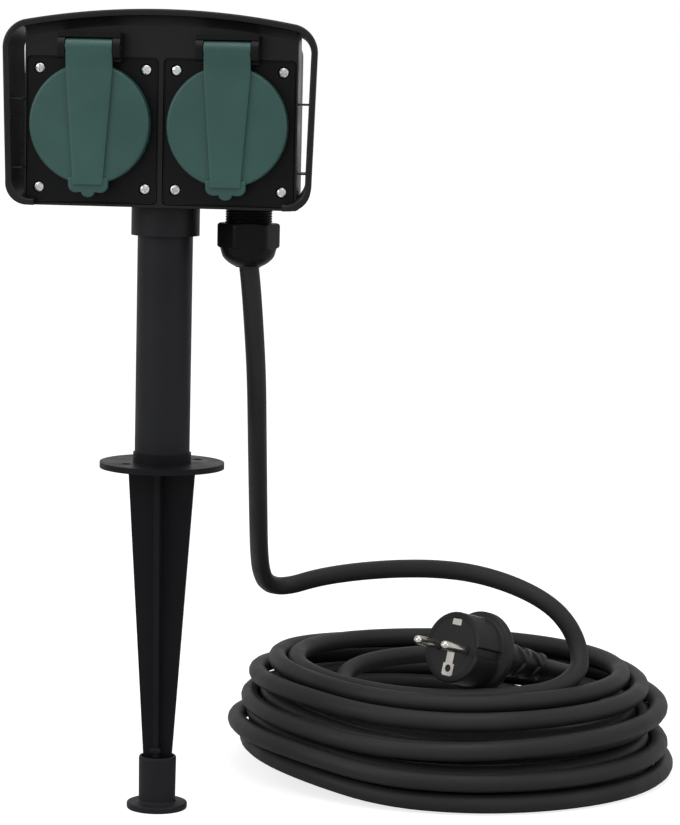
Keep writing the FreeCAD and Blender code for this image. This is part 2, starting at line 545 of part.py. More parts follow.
# Two hinged socket modules
SIDES = (("left", -1), ("right", 1))
for word, side in SIDES:
    middle = s.pitch / 2 * side
    drop = -s.screw_drop
    screw_spots = [(s.screw_dx * a, drop + s.screw_dz * b) for a in (-1, 1) for b in (-1, 1)]

    socket = new_body("socket_" + word)
    add_slab(socket, "XZ_Plane", [rounded(size(0), -s.flange_drop, s.flange_w, s.flange_h, s.flange_r)],
             s.flange_front, s.flange_rear)
    add_slab(socket, "XZ_Plane", [(0, 0, s.step_r)], s.step_front, s.flange_front + 1)
    add_slab(socket, "XZ_Plane", [(0, 0, s.ring_r)], s.collar_front, s.flange_front + 1)
    add_slab(socket, "XZ_Plane", [(0, 0, s.barrel_r)], s.flange_rear - 1, s.barrel_rear)
    cut_slab(socket, "XZ_Plane", [(0, 0, s.well_r)], s.collar_front - 1, s.well_floor)
    contacts = [(s.pin_pitch / 2 * a, 0) for a in (-1, 1)]
    cut_slab(socket, "XZ_Plane", [(x, z, s.entry_r) for x, z in contacts], s.well_floor - 1,
             s.contact_front)
    cut_slab(socket, "XZ_Plane", [(x, z, s.contact_r + s.fit) for x, z in contacts], s.contact_front,
             s.barrel_rear + 1)
    slot_x = s.clip_w / 2 + s.fit * 2
    slot_in, slot_out = s.clip_in - 0.6, s.clip_in + s.clip_t + 0.1
    cut_slab(socket, "XZ_Plane", [box(-slot_x, slot_in, slot_x, slot_out),
                                  box(-slot_x, -slot_out, slot_x, -slot_in)],
             s.clip_front - 0.1, s.barrel_rear + 1)
    cut_slab(socket, "XZ_Plane", [(x, z, 1.5 + s.fit) for x, z in screw_spots], s.flange_front - 1,
             s.flange_rear + 1)
    cut_slab(socket, "XZ_Plane", [(x, z, 3.0) for x, z in screw_spots], s.flange_front - 1,
             s.flange_front + 1.7)
    add_slab(socket, "XZ_Plane", [box(-s.ear_out, s.tab_low, s.ear_out, s.tab_step)], s.tab_front,
             s.flange_front + 0.5)
    add_slab(socket, "XZ_Plane", [box(-s.ear_out, s.tab_step - 0.5, s.ear_out, s.tab_high)], s.tab_front,
             s.tab_rear)
    ear = [(s.tab_front + 1, s.tab_low), (s.tab_front + 1, s.tab_high - 0.2), (s.hinge_y, s.tab_high - 0.2),
           (s.hinge_y, s.hinge_z + s.ear_rise, s.hinge_y - s.hinge_r, s.hinge_z),
           (s.hinge_y, s.hinge_z - s.ear_fall), (s.hinge_y, s.tab_low)]
    for start, end in ((-s.ear_out, -s.ear_in), (s.ear_in, s.ear_out)):
        add_slab(socket, "YZ_Plane", [ear], start, end)
    add_slab(socket, "XZ_Plane", [box(-s.ear_out, s.bar_low, s.ear_out, s.tab_high)], s.bar_front,
             s.tab_rear)
    cut_slab(socket, "YZ_Plane", [(s.hinge_y, s.hinge_z, s.hinge_pin_r + 0.02)], -s.ear_out - 1,
             s.ear_out + 1)
    cut_slab(socket, "XZ_Plane", [(0, 0, 1.2 + s.fit)], s.barrel_rear - 3, s.barrel_rear + 1)
    place(socket, middle, 0, s.lid_z)

    gasket = new_body("flange_seal_" + word)
    add_slab(gasket, "XZ_Plane",
             [rounded(size(0), -s.flange_drop, s.flange_w - 0.8, s.flange_h - 0.8, s.flange_r),
              (0, 0, s.barrel_r + s.barrel_gap)] + [(x, z, 1.7) for x, z in screw_spots],
             s.flange_rear, s.panel_front)
    place(gasket, middle, 0, s.lid_z)
    repeat("flange_screws_" + word, short_screw,
           [(middle + x, s.flange_front + 1.7, s.lid_z + z) for x, z in screw_spots], TO_FRONT)

    contact = new_body("contact_" + word, keep=False)
    add_slab(contact, "XZ_Plane", [(0, 0, s.contact_r)], s.contact_front, s.contact_rear)
    cut_slab(contact, "XZ_Plane", [(0, 0, s.contact_bore)], s.contact_front - 1, s.contact_rear - 4)
    cut_slab(contact, "XZ_Plane", [(0, 0, 1.2 + s.fit)], s.contact_rear - 5, s.contact_rear + 1)
    repeat("live_contacts_" + word, contact, [(middle + x, 0, s.lid_z) for x, z in contacts])

    clips = new_body("earth_clips_" + word)
    outer, inner = s.clip_in + s.clip_t, size(s.clip_in)
    back = s.barrel_rear + 0.1
    add_slab(clips, "YZ_Plane",
             [[(s.clip_front, inner), (back, inner), (back, -inner), (s.clip_front, -inner),
               (s.clip_front, -outer), (back + 1, -outer), (back + 1, outer), (s.clip_front, outer)]],
             -s.clip_w / 2, s.clip_w / 2)
    cut_slab(clips, "XZ_Plane", [(0, 0, 1.2 + s.fit)], s.barrel_rear - 1, s.barrel_rear + 3)
    place(clips, middle, 0, s.lid_z)
    repeat("terminal_screws_" + word, clamp_screw,
           [(middle + contacts[0][0], s.contact_rear, s.lid_z),
            (middle, s.barrel_rear + 1.1, s.lid_z),
            (middle + contacts[1][0], s.contact_rear, s.lid_z)], TO_BACK)

    pin = new_body("hinge_pin_" + word)
    reach = s.ear_out - 0.4
    add_slab(pin, "YZ_Plane", [(s.hinge_y, s.hinge_z, s.hinge_pin_r)], -reach, reach)
    place(pin, middle, 0, s.lid_z)

    lid = new_body("lid_" + word)
    add_slab(lid, "XZ_Plane", [(0, 0, s.lid_r)], s.lid_face + s.lid_edge, s.lid_rear)
    add_slab(lid, "XZ_Plane", [(0, 0, s.lid_r - s.lid_edge)], s.lid_face, s.lid_rear - 1)
    strap_rear = s.lid_face + s.lid_wall
    strap_half = s.strap_top_x
    add_slab(lid, "XZ_Plane",
             [[(-s.strap_foot_x, s.strap_foot), (s.strap_foot_x, s.strap_foot),
               (strap_half, s.strap_bend), (strap_half, s.hinge_z), (-strap_half, s.hinge_z),
               (-strap_half, s.strap_bend)]], s.strap_face, s.lid_face + 1)
    add_slab(lid, "XZ_Plane", [box(-strap_half, s.strap_bend, strap_half, s.hinge_z)],
             s.lid_face, strap_rear)
    add_slab(lid, "YZ_Plane", [(s.hinge_y, s.hinge_z, s.hinge_r)], -strap_half, strap_half)
    lobe, lobe_foot, nub_x = s.lobe_x, s.lobe_foot, s.nub_x
    bend_x, bend_z = lobe - 1.1, lobe_foot + 1.1
    add_slab(lid, "XZ_Plane",
             [[(lobe, lobe_foot + 7), (-lobe, lobe_foot + 7), (-lobe, lobe_foot + 4, -bend_x, bend_z),
               (2 - 0.75 * lobe, lobe_foot), (-nub_x, lobe_foot + 0.5, 0, lobe_foot - 2.3),
               (nub_x, lobe_foot + 0.5), (0.75 * lobe - 2, lobe_foot, bend_x, bend_z),
               (lobe, lobe_foot + 4)]],
             s.lid_face - 0.6, strap_rear)
    cut_slab(lid, "XZ_Plane", [(0, 0, s.lid_r - s.lid_wall)], strap_rear, s.lid_rear + 1)
    cut_slab(lid, "YZ_Plane", [(s.hinge_y, s.hinge_z, s.spring_room)], -s.spring_half, s.spring_half)
    cut_slab(lid, "XZ_Plane", [box(-s.spring_half, s.hinge_z - s.spring_room, s.spring_half,
                                   s.hinge_z + s.spring_room)], s.hinge_y, s.tab_front)
    cut_slab(lid, "YZ_Plane", [(s.hinge_y, s.hinge_z, s.hinge_pin_r + s.hinge_play)],
             -strap_half - 1, strap_half + 1)
    place(lid, middle, 0, s.lid_z)

    lid_ring = new_body("lid_seal_" + word)
    add_slab(lid_ring, "XZ_Plane", [(0, 0, s.ring_r + 0.8), (0, 0, s.well_r + 0.8)], strap_rear,
             s.collar_front - 0.1)
    place(lid_ring, middle, 0, s.lid_z)

    spring_x = s.spring_half.value - 0.8
    turns = 7
    helix = Part.makeHelix(2 * spring_x / turns, 2 * spring_x, s.spring_r.value)
    ring = Part.Wire(Part.makeCircle(s.spring_wire.value, V(s.spring_r.value, 0, 0), V(0, 1, 0)))
    spring = Part.Wire(helix).makePipeShell([ring], True, True)
    spring.Placement = FreeCAD.Placement(
        V(middle.value - spring_x, s.hinge_y.value, s.lid_z.value + s.hinge_z.value),
        FreeCAD.Rotation(V(0, 1, 0), 90))
    shaped("lid_spring_" + word, spring)

# Pole, ground spike and tip cap
pole = new_body("pole_tube")
add_slab(pole, "XY_Plane", [(0, 0, s.pole_r), (0, 0, s.pole_r - s.pole_wall)], s.disc_top, s.sleeve_top)
cut_slab(pole, "XZ_Plane", [(0, pole_screw_z, 2 + s.fit)], 0, s.pole_r + 1)

spike = new_body("ground_spike")
disc_low = s.disc_top - s.disc_t
add_slab(spike, "XY_Plane", [(0, 0, s.disc_r)], disc_low, s.disc_top)
add_slab(spike, "XY_Plane", [(0, 0, s.hub_r)], s.disc_top - 1, s.hub_top)
cut_slab(spike, "XY_Plane", [(0, 0, s.pole_r + s.fit)], s.disc_top, s.hub_top + 1)
add_slab(spike, "XY_Plane", [(0, 0, s.pole_r - s.pole_wall - s.fit)], s.disc_top - 1, s.spigot_top)
cut_slab(spike, "XY_Plane", [(0, 0, s.spigot_bore)], s.disc_top, s.spigot_top + 1)
web = [(-s.web_foot_x, s.tip_z), (s.web_foot_x, s.tip_z), (s.web_knee_x, s.web_knee_z),
       (s.web_top_x, disc_low + 0.5), (-s.web_top_x, disc_low + 0.5), (-s.web_knee_x, s.web_knee_z)]
add_slab(spike, "XZ_Plane", [web], -s.web_t / 2, s.web_t / 2)
add_slab(spike, "YZ_Plane", [web], -s.web_t / 2, s.web_t / 2)
add_slab(spike, "YZ_Plane", [(-s.web_knee_x + 0.4, s.nub_z, s.nub_r)], -s.nub_half, s.nub_half)
cut_slab(spike, "XY_Plane", [(s.peg_x, s.peg_y, s.peg_r), (-s.peg_x, -s.peg_y, s.peg_r)],
         disc_low - 1, s.disc_top + 1)

cap = new_body("tip_cap")
turned(cap, [(0, 0), (s.foot_r, 0), (s.foot_r, s.foot_t), (s.cap_root_r, s.foot_t),
             (s.cap_r, s.cap_rim), (s.cap_r - s.cap_wall, s.cap_rim),
             (s.cap_root_r - s.cap_wall, s.tip_z), (0, s.tip_z)])

# Cable gland
gland = new_body("gland_body")
add_slab(gland, "XY_Plane", [(0, 0, s.gland_r), (0, 0, s.gland_bore)], s.gland_foot, s.gland_top)
add_slab(gland, "XY_Plane", [(0, 0, s.gland_r + 0.4), (0, 0, s.gland_bore)], s.nut_top + s.shoulder_low,
         s.rear_foot)
place(gland, s.gland_x, 0, 0)

nut = new_body("gland_nut")
zero = size(0)
add_slab(nut, "XY_Plane", [hexagon(zero, zero, s.nut_af, s.nut_turn.value)], s.nut_foot, s.nut_top)
nut_r = s.nut_af / 2
turned(nut, [(0, s.dome_foot), (s.dome_r, s.dome_foot, s.dome_via_r, s.dome_via_z),
             (nut_r, s.nut_foot + 0.5), (0, s.nut_foot + 0.5)])
cut_slab(nut, "XY_Plane", [(0, 0, s.gland_r + s.fit)], s.nut_foot + 2, s.nut_top + 1)
cut_slab(nut, "XY_Plane", [(0, 0, s.seal_low_r + s.fit)], s.dome_foot - 1, s.seal_step + 1)
cut_slab(nut, "XY_Plane", [(0, 0, s.seal_r + s.fit)], s.seal_step, s.nut_foot + 3)
place(nut, s.gland_x, 0, 0)

grommet = new_body("gland_seal")
add_slab(grommet, "XY_Plane", [(0, 0, s.seal_low_r)], s.seal_foot, s.seal_step + 1)
add_slab(grommet, "XY_Plane", [(0, 0, s.seal_r)], s.seal_step, s.gland_foot)
cut_slab(grommet, "XY_Plane", [(0, 0, s.cord_r - s.grip)], s.seal_foot - 1, s.gland_foot + 1)
place(grommet, s.gland_x, 0, 0)

locknut = new_body("gland_locknut")
lock_low = s.rear_foot + s.rear_wall
add_slab(locknut, "XY_Plane", [hexagon(zero, zero, s.locknut_af, 0.0), (0, 0, s.gland_r + s.fit)],
         lock_low, lock_low + s.locknut_t)
place(locknut, s.gland_x, 0, 0)

# Plug
dip, heading = math.radians(s.plug_dip.value), math.radians(s.plug_turn.value)
plug_axis = V(math.cos(heading) * math.cos(dip), math.sin(heading) * math.cos(dip), -math.sin(dip))
plug_across = V(math.sin(heading), -math.cos(heading), 0)
plug_up = plug_axis.cross(plug_across)
plug_pose = FreeCAD.Rotation(plug_across, plug_up, plug_axis, "ZXY")

shell = new_body("plug_body")
rib_count, rib_pitch = 11, 3.4
rib_start = s.plug_end - rib_count * rib_pitch
profile = [(0, 0), (s.plug_face_r - 0.8, 0), (s.plug_face_r, 0.8), (s.plug_face_r, s.plug_front - 1.2),
           (s.plug_collar_r, s.plug_front), (s.plug_collar_r, s.plug_front + 4),
           (s.plug_collar_r - 1.6, s.plug_front + 6), (13.5, s.plug_front + 9),
           (12.0, s.plug_front + 11), (10.4, rib_start - 1.0)]
for number in range(rib_count):
    low = rib_start + number * rib_pitch
    radius = 9.2 - (9.2 - s.plug_end_r) * ((number + 1) / rib_count)
    profile += [(radius, low), (radius, low + rib_pitch * 0.6), (radius - 1.1, low + rib_pitch * 0.62),
                (radius - 1.1, low + rib_pitch * 0.98)]
profile[-2:] = [(s.plug_end_r, s.plug_end)]
profile.append((0, s.plug_end))
turned(shell, profile)
cut_slab(shell, "XY_Plane", [(0, 0, s.bridge_r + s.fit)], -1, s.bridge_t + 0.1)
groove, sink = s.clip_w / 2 + 0.2, s.clip_t + 0.05
side_in = s.plug_face_r - 0.95
beyond = s.plug_face_r + 1
head_x, head_low, head_high = s.clip_head_x + 0.2, s.clip_head_y - 0.2, s.clip_head_end + 0.2
head_recess = box(-head_x, head_low, head_x, head_high)
for low, high in ((side_in, beyond), (-beyond, -side_in)):
    cut_slab(shell, "XY_Plane", [box(-groove, low, groove, high)], s.clip_dive - 0.1, s.clip_rear + 0.5)
for low, high in ((side_in - 0.9, beyond), (-beyond, 0.9 - side_in)):
    cut_slab(shell, "XY_Plane", [box(low, -2.5, high, 2.5)], -1, s.clip_rear)
cut_slab(shell, "XY_Plane", [box(-groove, -beyond, groove, beyond)], s.clip_dive - 0.1, s.clip_dive + sink)
cut_slab(shell, "XY_Plane", [(0, 0, s.cord_r - s.grip)], s.plug_end - 6, s.plug_end + 1)

insert = new_body("plug_bridge")
pins_at = [(s.pin_pitch / 2 * a, 0) for a in (-1, 1)]
add_slab(insert, "XY_Plane", [(0, 0, s.bridge_r)], 0, s.bridge_t)
cut_slab(insert, "XY_Plane", [(x, y, s.pin_shank_r + s.fit) for x, y in pins_at], -1, s.plug_pin_in)
strip_x = s.clip_face_x + 0.2
cut_slab(insert, "XY_Plane", [box(-strip_x, s.clip_long - 0.2, strip_x, s.clip_head_y + 1)], -1, sink)
cut_slab(insert, "XY_Plane", [head_recess], -1, sink)
cut_slab(insert, "XY_Plane", [box(-groove, -s.bridge_r - 1, groove, 0.2 - s.clip_short)], -1, sink)
inner = s.clip_edge - sink - 0.05
for low, high in ((inner, s.bridge_r + 1), (-s.bridge_r - 1, -inner)):
    cut_slab(insert, "XY_Plane", [box(-groove, low, groove, high)], -1, s.clip_dive + sink)

pin_master = new_body("plug_pin", keep=False)
tip = s.plug_pin_out
turned(pin_master, [(0, -tip), (s.plug_pin_r * 0.45, -tip), (s.plug_pin_r * 0.8, -tip + 0.7),
                    (s.plug_pin_r, -tip + s.pin_taper), (s.plug_pin_r, -s.pin_root),
                    (s.pin_shank_r, -s.pin_root), (s.pin_shank_r, s.plug_pin_in), (0, s.plug_pin_in)])
offset = [plug_across * (s.pin_pitch.value / 2 * a) for a in (-1, 1)]
repeat("plug_pins", pin_master,
       [(s.plug_x + p.x, s.plug_y + p.y, s.plug_z + p.z) for p in offset], plug_pose)

straps = new_body("plug_earth_clips")
skin = s.plug_face_r - s.clip_lift
edge, dive = s.clip_edge, s.clip_dive
for turn, near, half in ((-1, s.clip_short, s.clip_w / 2), (1, s.clip_long, s.clip_face_x)):
    face_strip = box(-half, near, half, edge) if turn > 0 else box(-half, -edge, half, -near)
    hook = [(edge, 0), (edge, dive), (skin, dive), (skin, s.clip_rear), (skin - s.clip_t, s.clip_rear),
            (skin - s.clip_t, dive + s.clip_t), (edge - s.clip_t, dive + s.clip_t), (edge - s.clip_t, 0)]
    add_slab(straps, "XY_Plane", [face_strip], 0, s.clip_t)
    add_slab(straps, "YZ_Plane", [[(y * turn, z) for y, z in hook]], -s.clip_w / 2, s.clip_w / 2)
add_slab(straps, "XY_Plane", [box(-s.clip_head_x, s.clip_head_y, s.clip_head_x, s.clip_head_end)],
         0, s.clip_t)
cut_slab(straps, "XY_Plane", [(0, s.clip_hole_y, s.clip_hole_r)], -1, s.clip_t + 1)
for item in (shell, insert, straps):
    place(item, s.plug_x, s.plug_y, s.plug_z, plug_pose)

# Coil: four layers that spiral out and in, each stage (turns, end radius, end height)
coil_middle = V(s.coil_x.value, s.coil_y.value, 0)
floor_z = s.cord_r.value + 0.3
STAGES = (
    (0.12, 81.0, 53.8),
    (0.88, 91.2, 54.0),
    (1.75, 112.0, 42.5),
    (0.25, 114.2, 36.0),
    (0.25, 113.0, 27.8),
    (3.0, 79.6, 36.0),
    (0.25, 78.2, 29.0),
    (0.25, 79.8, 21.0),
    (3.5, 118.0, 16.4),
    (0.25, 120.6, 11.8),
    (0.25, 118.6, floor_z),
    (3.0, 85.4, floor_z),
    (0.344, 77.5, floor_z),
)
start_radius, start_height = 80.0, 56.0
start_dip = math.radians(22)


def coil_point(turns):
    """Where the coil's centre line is after a number of turns, clockwise from above."""
    radius, height, left = start_radius, start_height, turns
    for span, next_radius, next_height in STAGES:
        share = min(1.0, max(0.0, left / span))
        here = radius + (next_radius - radius) * share
        level = height + (next_height - height) * share
        if left <= span:
            break
        left -= span
        radius, height = next_radius, next_height
    angle = math.radians(s.coil_start.value - 360 * turns)
    return coil_middle + V(here * math.cos(angle), here * math.sin(angle), level)


def coil_heading(turns):
    """The direction of travel at a number of turns."""
    step = 0.02
    low, high = max(0.0, turns - step), min(total_turns, turns + step)
    return (coil_point(high) - coil_point(low)).normalize()


total_turns = sum(stage[0] for stage in STAGES)
quarters = round(total_turns * 4)
marks = [total_turns * number / quarters for number in range(quarters + 1)]
lead = 2 * s.cord_r.value
places = [coil_point(mark) for mark in marks]
ways = [coil_heading(mark) for mark in marks]
level_way = V(ways[0].x, ways[0].y, 0).normalize()
ways[0] = level_way * math.cos(start_dip) + V(0, 0, -math.sin(start_dip))
ways[-1] = V(ways[-1].x, ways[-1].y, 0).normalize()
coil_in, coil_out = places[0] - ways[0] * lead, places[-1] + ways[-1] * lead
edges = [Part.LineSegment(coil_in, places[0]).toShape()]
for first, second, way_in, way_out in zip(places, places[1:], ways, ways[1:]):
    edges += biarc(first, way_in, second, way_out)
edges.append(Part.LineSegment(places[-1], coil_out).toShape())
coil_path = Part.Wire(edges)
shaped("cord_coil", tube("cord_coil", coil_path, s.cord_r.value))
samples = []
for edge in coil_path.Edges:
    samples += edge.discretize(Distance=4.0)[:-1]
closest = min((samples[a] - samples[b]).Length
              for a in range(len(samples)) for b in range(a + 14, len(samples)))
print("coil turns", total_turns, "least gap", round(closest - 2 * s.cord_r.value, 2),
      "ends", coil_in, ways[0], coil_out, ways[-1])

# Cord from the gland down behind the spike and over to the coil
gx = s.gland_x.value
inner_end = V(gx, 0, s.gland_foot.value - 1)
DROP_TOP = 291.6  # height of the cord's inner end for which the points below are given
DROP = (
    (1.1, 0.5, 276.4), (2.6, 4, 255.9), (3.7, 14, 224.4), (2.2, 34, 193.7), (-0.1, 62, 158.3),
    (-2.3, 88, 130.1), (-3.8, 106, 116.3), (-4.4, 121, 105.2), (-3.4, 134.5, 96.8), (1.6, 144.3, 92.6),
    (10.2, 149, 92.9), (20, 149, 96.3), (30.5, 145, 99.6), (42, 139, 102.7), (56, 131, 106),
    (73, 121, 109.2), (92, 111.5, 111.4), (111.5, 103.5, 111.4), (129.7, 97.8, 108.2),
    (145.6, 94.5, 102.6), (157.6, 93, 95.5), (165.4, 92.7, 87.1), (170, 92.7, 78.5), (172.4, 89.3, 70.4),
)
stretch = inner_end.z / DROP_TOP
drop_points = [inner_end] + [V(gx + x, y, z * stretch) for x, y, z in DROP]
drop_points += [coil_in - ways[0] * lead, coil_in]
drop_path, drop_radii = tube_path(drop_points)
print("drop radii", [round(radius) for radius in drop_radii])
shaped("cord_drop", tube("cord_drop", drop_path, s.cord_r.value))

# Cord from the coil's inner end round inside the hollow and up to the plug
plug_place = V(s.plug_x.value, s.plug_y.value, s.plug_z.value)
relief_end = plug_place + plug_axis * s.plug_end.value
TAIL = (
    (-122, 75.0, 5.6), (-152, 70.0, 6.0), (-182, 68.0, 6.4), (-242, 66.0, 9.0), (-302, 65.0, 13.0),
    (-362, 65.0, 17.0), (-422, 66.0, 20.0), (-482, 66.0, 24.0), (-542, 66.0, 35.0), (-585, 66.0, 42.0),
    (-640, 67.5, 44.5), (-699, 69.0, 45.5),
)
tail_points = [coil_out, coil_out + ways[-1] * 18]
for angle, radius, height in TAIL:
    swing = math.radians(angle)
    tail_points.append(coil_middle + V(radius * math.cos(swing), radius * math.sin(swing), height))
tail_points += [relief_end + plug_axis * 20, relief_end]
tail_path, tail_radii = tube_path(tail_points)
print("tail radii", [round(radius) for radius in tail_radii])
shaped("cord_tail", tube("cord_tail", tail_path, s.cord_r.value))

# Wires inside the housing, from the cord's end to the screws of both sockets
left_x, right_x = -s.pitch.value / 2, s.pitch.value / 2
half = s.pin_pitch.value / 2
terminal_z = s.lid_z.value
lift, low = s.wire_lift.value, s.wire_low.value
risen = terminal_z - s.wire_reach.value
behind = s.contact_rear.value + 1.3 + s.wire_r.value + 0.3
earth_behind = s.barrel_rear.value + 1.1 + 1.3 + s.wire_r.value + 0.3
cord_end = s.gland_foot.value


def wire_route(start, rise, own_y, over_z, right_end, left_end, near_y):
    """From the cord up to the right socket's screw and over to the left socket's."""
    return [start, V(start.x, start.y, cord_end + lift), rise, V(right_end, near_y, terminal_z - low),
            V(right_end, near_y, terminal_z + 1), V(right_end - 1, own_y, over_z - 2),
            V(right_end - 8, own_y, over_z), V(left_end + 8, own_y, over_z),
            V(left_end + 1, own_y, over_z - 2), V(left_end, near_y, terminal_z + 1),
            V(left_end, near_y, terminal_z - 4)]


WIRES = (
    ("wire_live", V(gx + 2.6, 0.4, cord_end), V(gx + 2.4, 13.5, risen + 2), behind + 0.6, 15.0,
     right_x + half, left_x + half, behind),
    ("wire_earth", V(gx - 1.6, 1.6, cord_end), V(gx - 6.0, 16.0, risen + 3), earth_behind + 2.4, 10.5,
     right_x, left_x, earth_behind),
    ("wire_neutral", V(gx - 1.6, -1.6, cord_end), V(gx - 14.0, 16.0, risen), 23.6, 6.5,
     right_x - half, left_x - half, behind),
)
for name, start, rise, own_y, over, right_end, left_end, near_y in WIRES:
    route = wire_route(start, rise, own_y, terminal_z + over, right_end, left_end, near_y)
    path = tube_path(route)[0]
    shaped(name, tube(name, path, s.wire_r.value))

doc.recompute()
for item in doc.Objects:
    if "Invalid" in item.State or "Error" in item.State:
        raise RuntimeError("not rebuilt: " + item.Label)
for item in subparts:
    if item.Shape.isNull() or not item.Shape.isValid():
        raise RuntimeError("no valid shape: " + item.Label)
    print(item.Label, len(item.Shape.Solids), "solids", round(item.Shape.Volume), "mm3")
    item.Shape.exportStep("parts/%s.step" % item.Label)
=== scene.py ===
import math

import bmesh
import bpy
import numpy as np
from mathutils import Matrix, Vector


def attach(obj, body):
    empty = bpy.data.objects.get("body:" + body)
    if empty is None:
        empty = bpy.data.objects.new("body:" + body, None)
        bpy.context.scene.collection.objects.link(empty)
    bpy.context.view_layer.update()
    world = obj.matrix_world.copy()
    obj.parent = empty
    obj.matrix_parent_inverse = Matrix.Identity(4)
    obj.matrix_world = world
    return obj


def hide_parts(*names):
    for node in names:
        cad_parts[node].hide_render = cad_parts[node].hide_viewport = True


bl_info = {
    "name": "Garden socket spike",
    "version": (1, 0, 0),
    "blender": (4, 5, 0),
    "location": "3D View > Sidebar > Garden",
    "description": "Dresses a twin garden socket on a ground spike, with its coiled cord and plug",
    "category": "Object",
}

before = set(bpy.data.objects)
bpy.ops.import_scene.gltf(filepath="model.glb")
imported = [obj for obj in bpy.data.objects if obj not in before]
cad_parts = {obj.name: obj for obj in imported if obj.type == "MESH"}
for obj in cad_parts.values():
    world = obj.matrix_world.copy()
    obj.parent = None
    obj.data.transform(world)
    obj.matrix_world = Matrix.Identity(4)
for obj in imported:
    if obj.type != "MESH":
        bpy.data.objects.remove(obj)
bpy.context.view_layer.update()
MM = 0.001

# Places in millimetres, as the solids have them: the sockets along X, the lids' middle and the hinge
SIDES = {"left": -34.26, "right": 34.26}
LID_Z, HINGE_Y, HINGE_Z = 351.25, -32.0, 389.0


# Settings a user would change
class CordSizes(bpy.types.PropertyGroup):
    diameter: bpy.props.FloatProperty(
        name="Diameter", description="Thickness of the rubber cord", default=0.01, min=0.004, max=0.02,
        subtype="DISTANCE", unit="LENGTH")
    sides: bpy.props.IntProperty(
        name="Roundness", description="Steps of a quarter round of the cord", default=5, min=2, max=10)
    colour: bpy.props.FloatVectorProperty(
        name="Rubber", description="Colour of the cord's rubber", default=(0.0155, 0.0155, 0.016),
        min=0, max=1, subtype="COLOR")


class FinishColours(bpy.types.PropertyGroup):
    housing: bpy.props.FloatVectorProperty(
        name="Housing", description="Colour of the moulded housing", default=(0.0072, 0.0074, 0.0088),
        min=0, max=1, subtype="COLOR")
    lids: bpy.props.FloatVectorProperty(
        name="Lids", description="Colour of the two round lids", default=(0.022, 0.072, 0.062),
        min=0, max=1, subtype="COLOR")
    pole: bpy.props.FloatVectorProperty(
        name="Pole", description="Colour of the pole", default=(0.0118, 0.0122, 0.0146),
        min=0, max=1, subtype="COLOR")


class StageSizes(bpy.types.PropertyGroup):
    lens: bpy.props.FloatProperty(
        name="Lens", description="Focal length of the camera in millimetres", default=130.9, min=20, max=300)
    sky: bpy.props.FloatProperty(
        name="Studio light", description="Brightness of the white studio around the object",
        default=0.7, min=0, max=4)


# Node materials
class Finish:
    """A material with a Principled surface whose constants stand on its own sockets."""

    def __init__(self, name, colour, roughness, **sockets):
        self.material = bpy.data.materials.new(name)
        self.material.use_nodes = True
        tree = self.material.node_tree
        self.nodes, self.links = tree.nodes, tree.links
        self.surface = self.nodes["Principled BSDF"]
        self.surface.inputs["Base Color"].default_value = (*colour[:3], 1)
        self.surface.inputs["Roughness"].default_value = roughness
        for socket, value in sockets.items():
            self.surface.inputs[socket.replace("_", " ")].default_value = value
        self.place = self.nodes.new("ShaderNodeTexCoord").outputs["Object"]
        self.last_bump = None

    def noise(self, scale, detail):
        """Cloudy noise in the object's own metres."""
        cloud = self.nodes.new("ShaderNodeTexNoise")
        cloud.inputs["Scale"].default_value = scale
        cloud.inputs["Detail"].default_value = detail
        self.links.new(self.place, cloud.inputs["Vector"])
        return cloud.outputs["Fac"]

    def ramp(self, factor, low, high, start=0.35, end=0.65):
        """A value that goes from low to high as the factor passes from start to end."""
        spread = self.nodes.new("ShaderNodeMapRange")
        spread.inputs["From Min"].default_value = start
        spread.inputs["From Max"].default_value = end
        spread.inputs["To Min"].default_value = low
        spread.inputs["To Max"].default_value = high
        self.links.new(factor, spread.inputs["Value"])
        return spread.outputs["Result"]

    def vary_roughness(self, factor, low, high):
        self.links.new(self.ramp(factor, low, high), self.surface.inputs["Roughness"])
        return self

    def vary_colour(self, factor, first, second, start=0.3, end=0.7):
        """Two shades of the surface mixed by a factor; a mix has its colours on sockets 6 and 7."""
        mix = self.nodes.new("ShaderNodeMix")
        mix.data_type = "RGBA"
        mix.inputs[6].default_value = (*first[:3], 1)
        mix.inputs[7].default_value = (*second[:3], 1)
        self.links.new(self.ramp(factor, 0, 1, start, end), mix.inputs[0])
        self.links.new(mix.outputs[2], self.surface.inputs["Base Color"])
        return self

    def bump(self, factor, depth, strength=1.0):
        """A relief of a depth in metres, laid over the reliefs before it."""
        relief = self.nodes.new("ShaderNodeBump")
        relief.inputs["Strength"].default_value = strength
        relief.inputs["Distance"].default_value = depth
        self.links.new(factor, relief.inputs["Height"])
        if self.last_bump:
            self.links.new(self.last_bump, relief.inputs["Normal"])
        self.last_bump = relief.outputs["Normal"]
        self.links.new(self.last_bump, self.surface.inputs["Normal"])
        return self


def shade(colour, share):
    """The same colour lighter or darker by a share."""
    return tuple(min(1.0, channel * share) for channel in colour[:3])


def moulded_plastic(name, colour, roughness, depth=0.00003, gloss=0.5):
    """Moulded plastic: fine spark grain, faint flow clouds and slightly uneven gloss."""
    finish = Finish(name, colour, roughness, Specular_IOR_Level=gloss)
    finish.vary_colour(finish.noise(24, 3), shade(colour, 0.86), shade(colour, 1.16))
    finish.vary_roughness(finish.noise(90, 5), roughness * 0.88, roughness * 1.14)
    finish.bump(finish.noise(2200, 2), depth)
    finish.bump(finish.noise(60, 2), 0.00006, 0.5)
    return finish.material


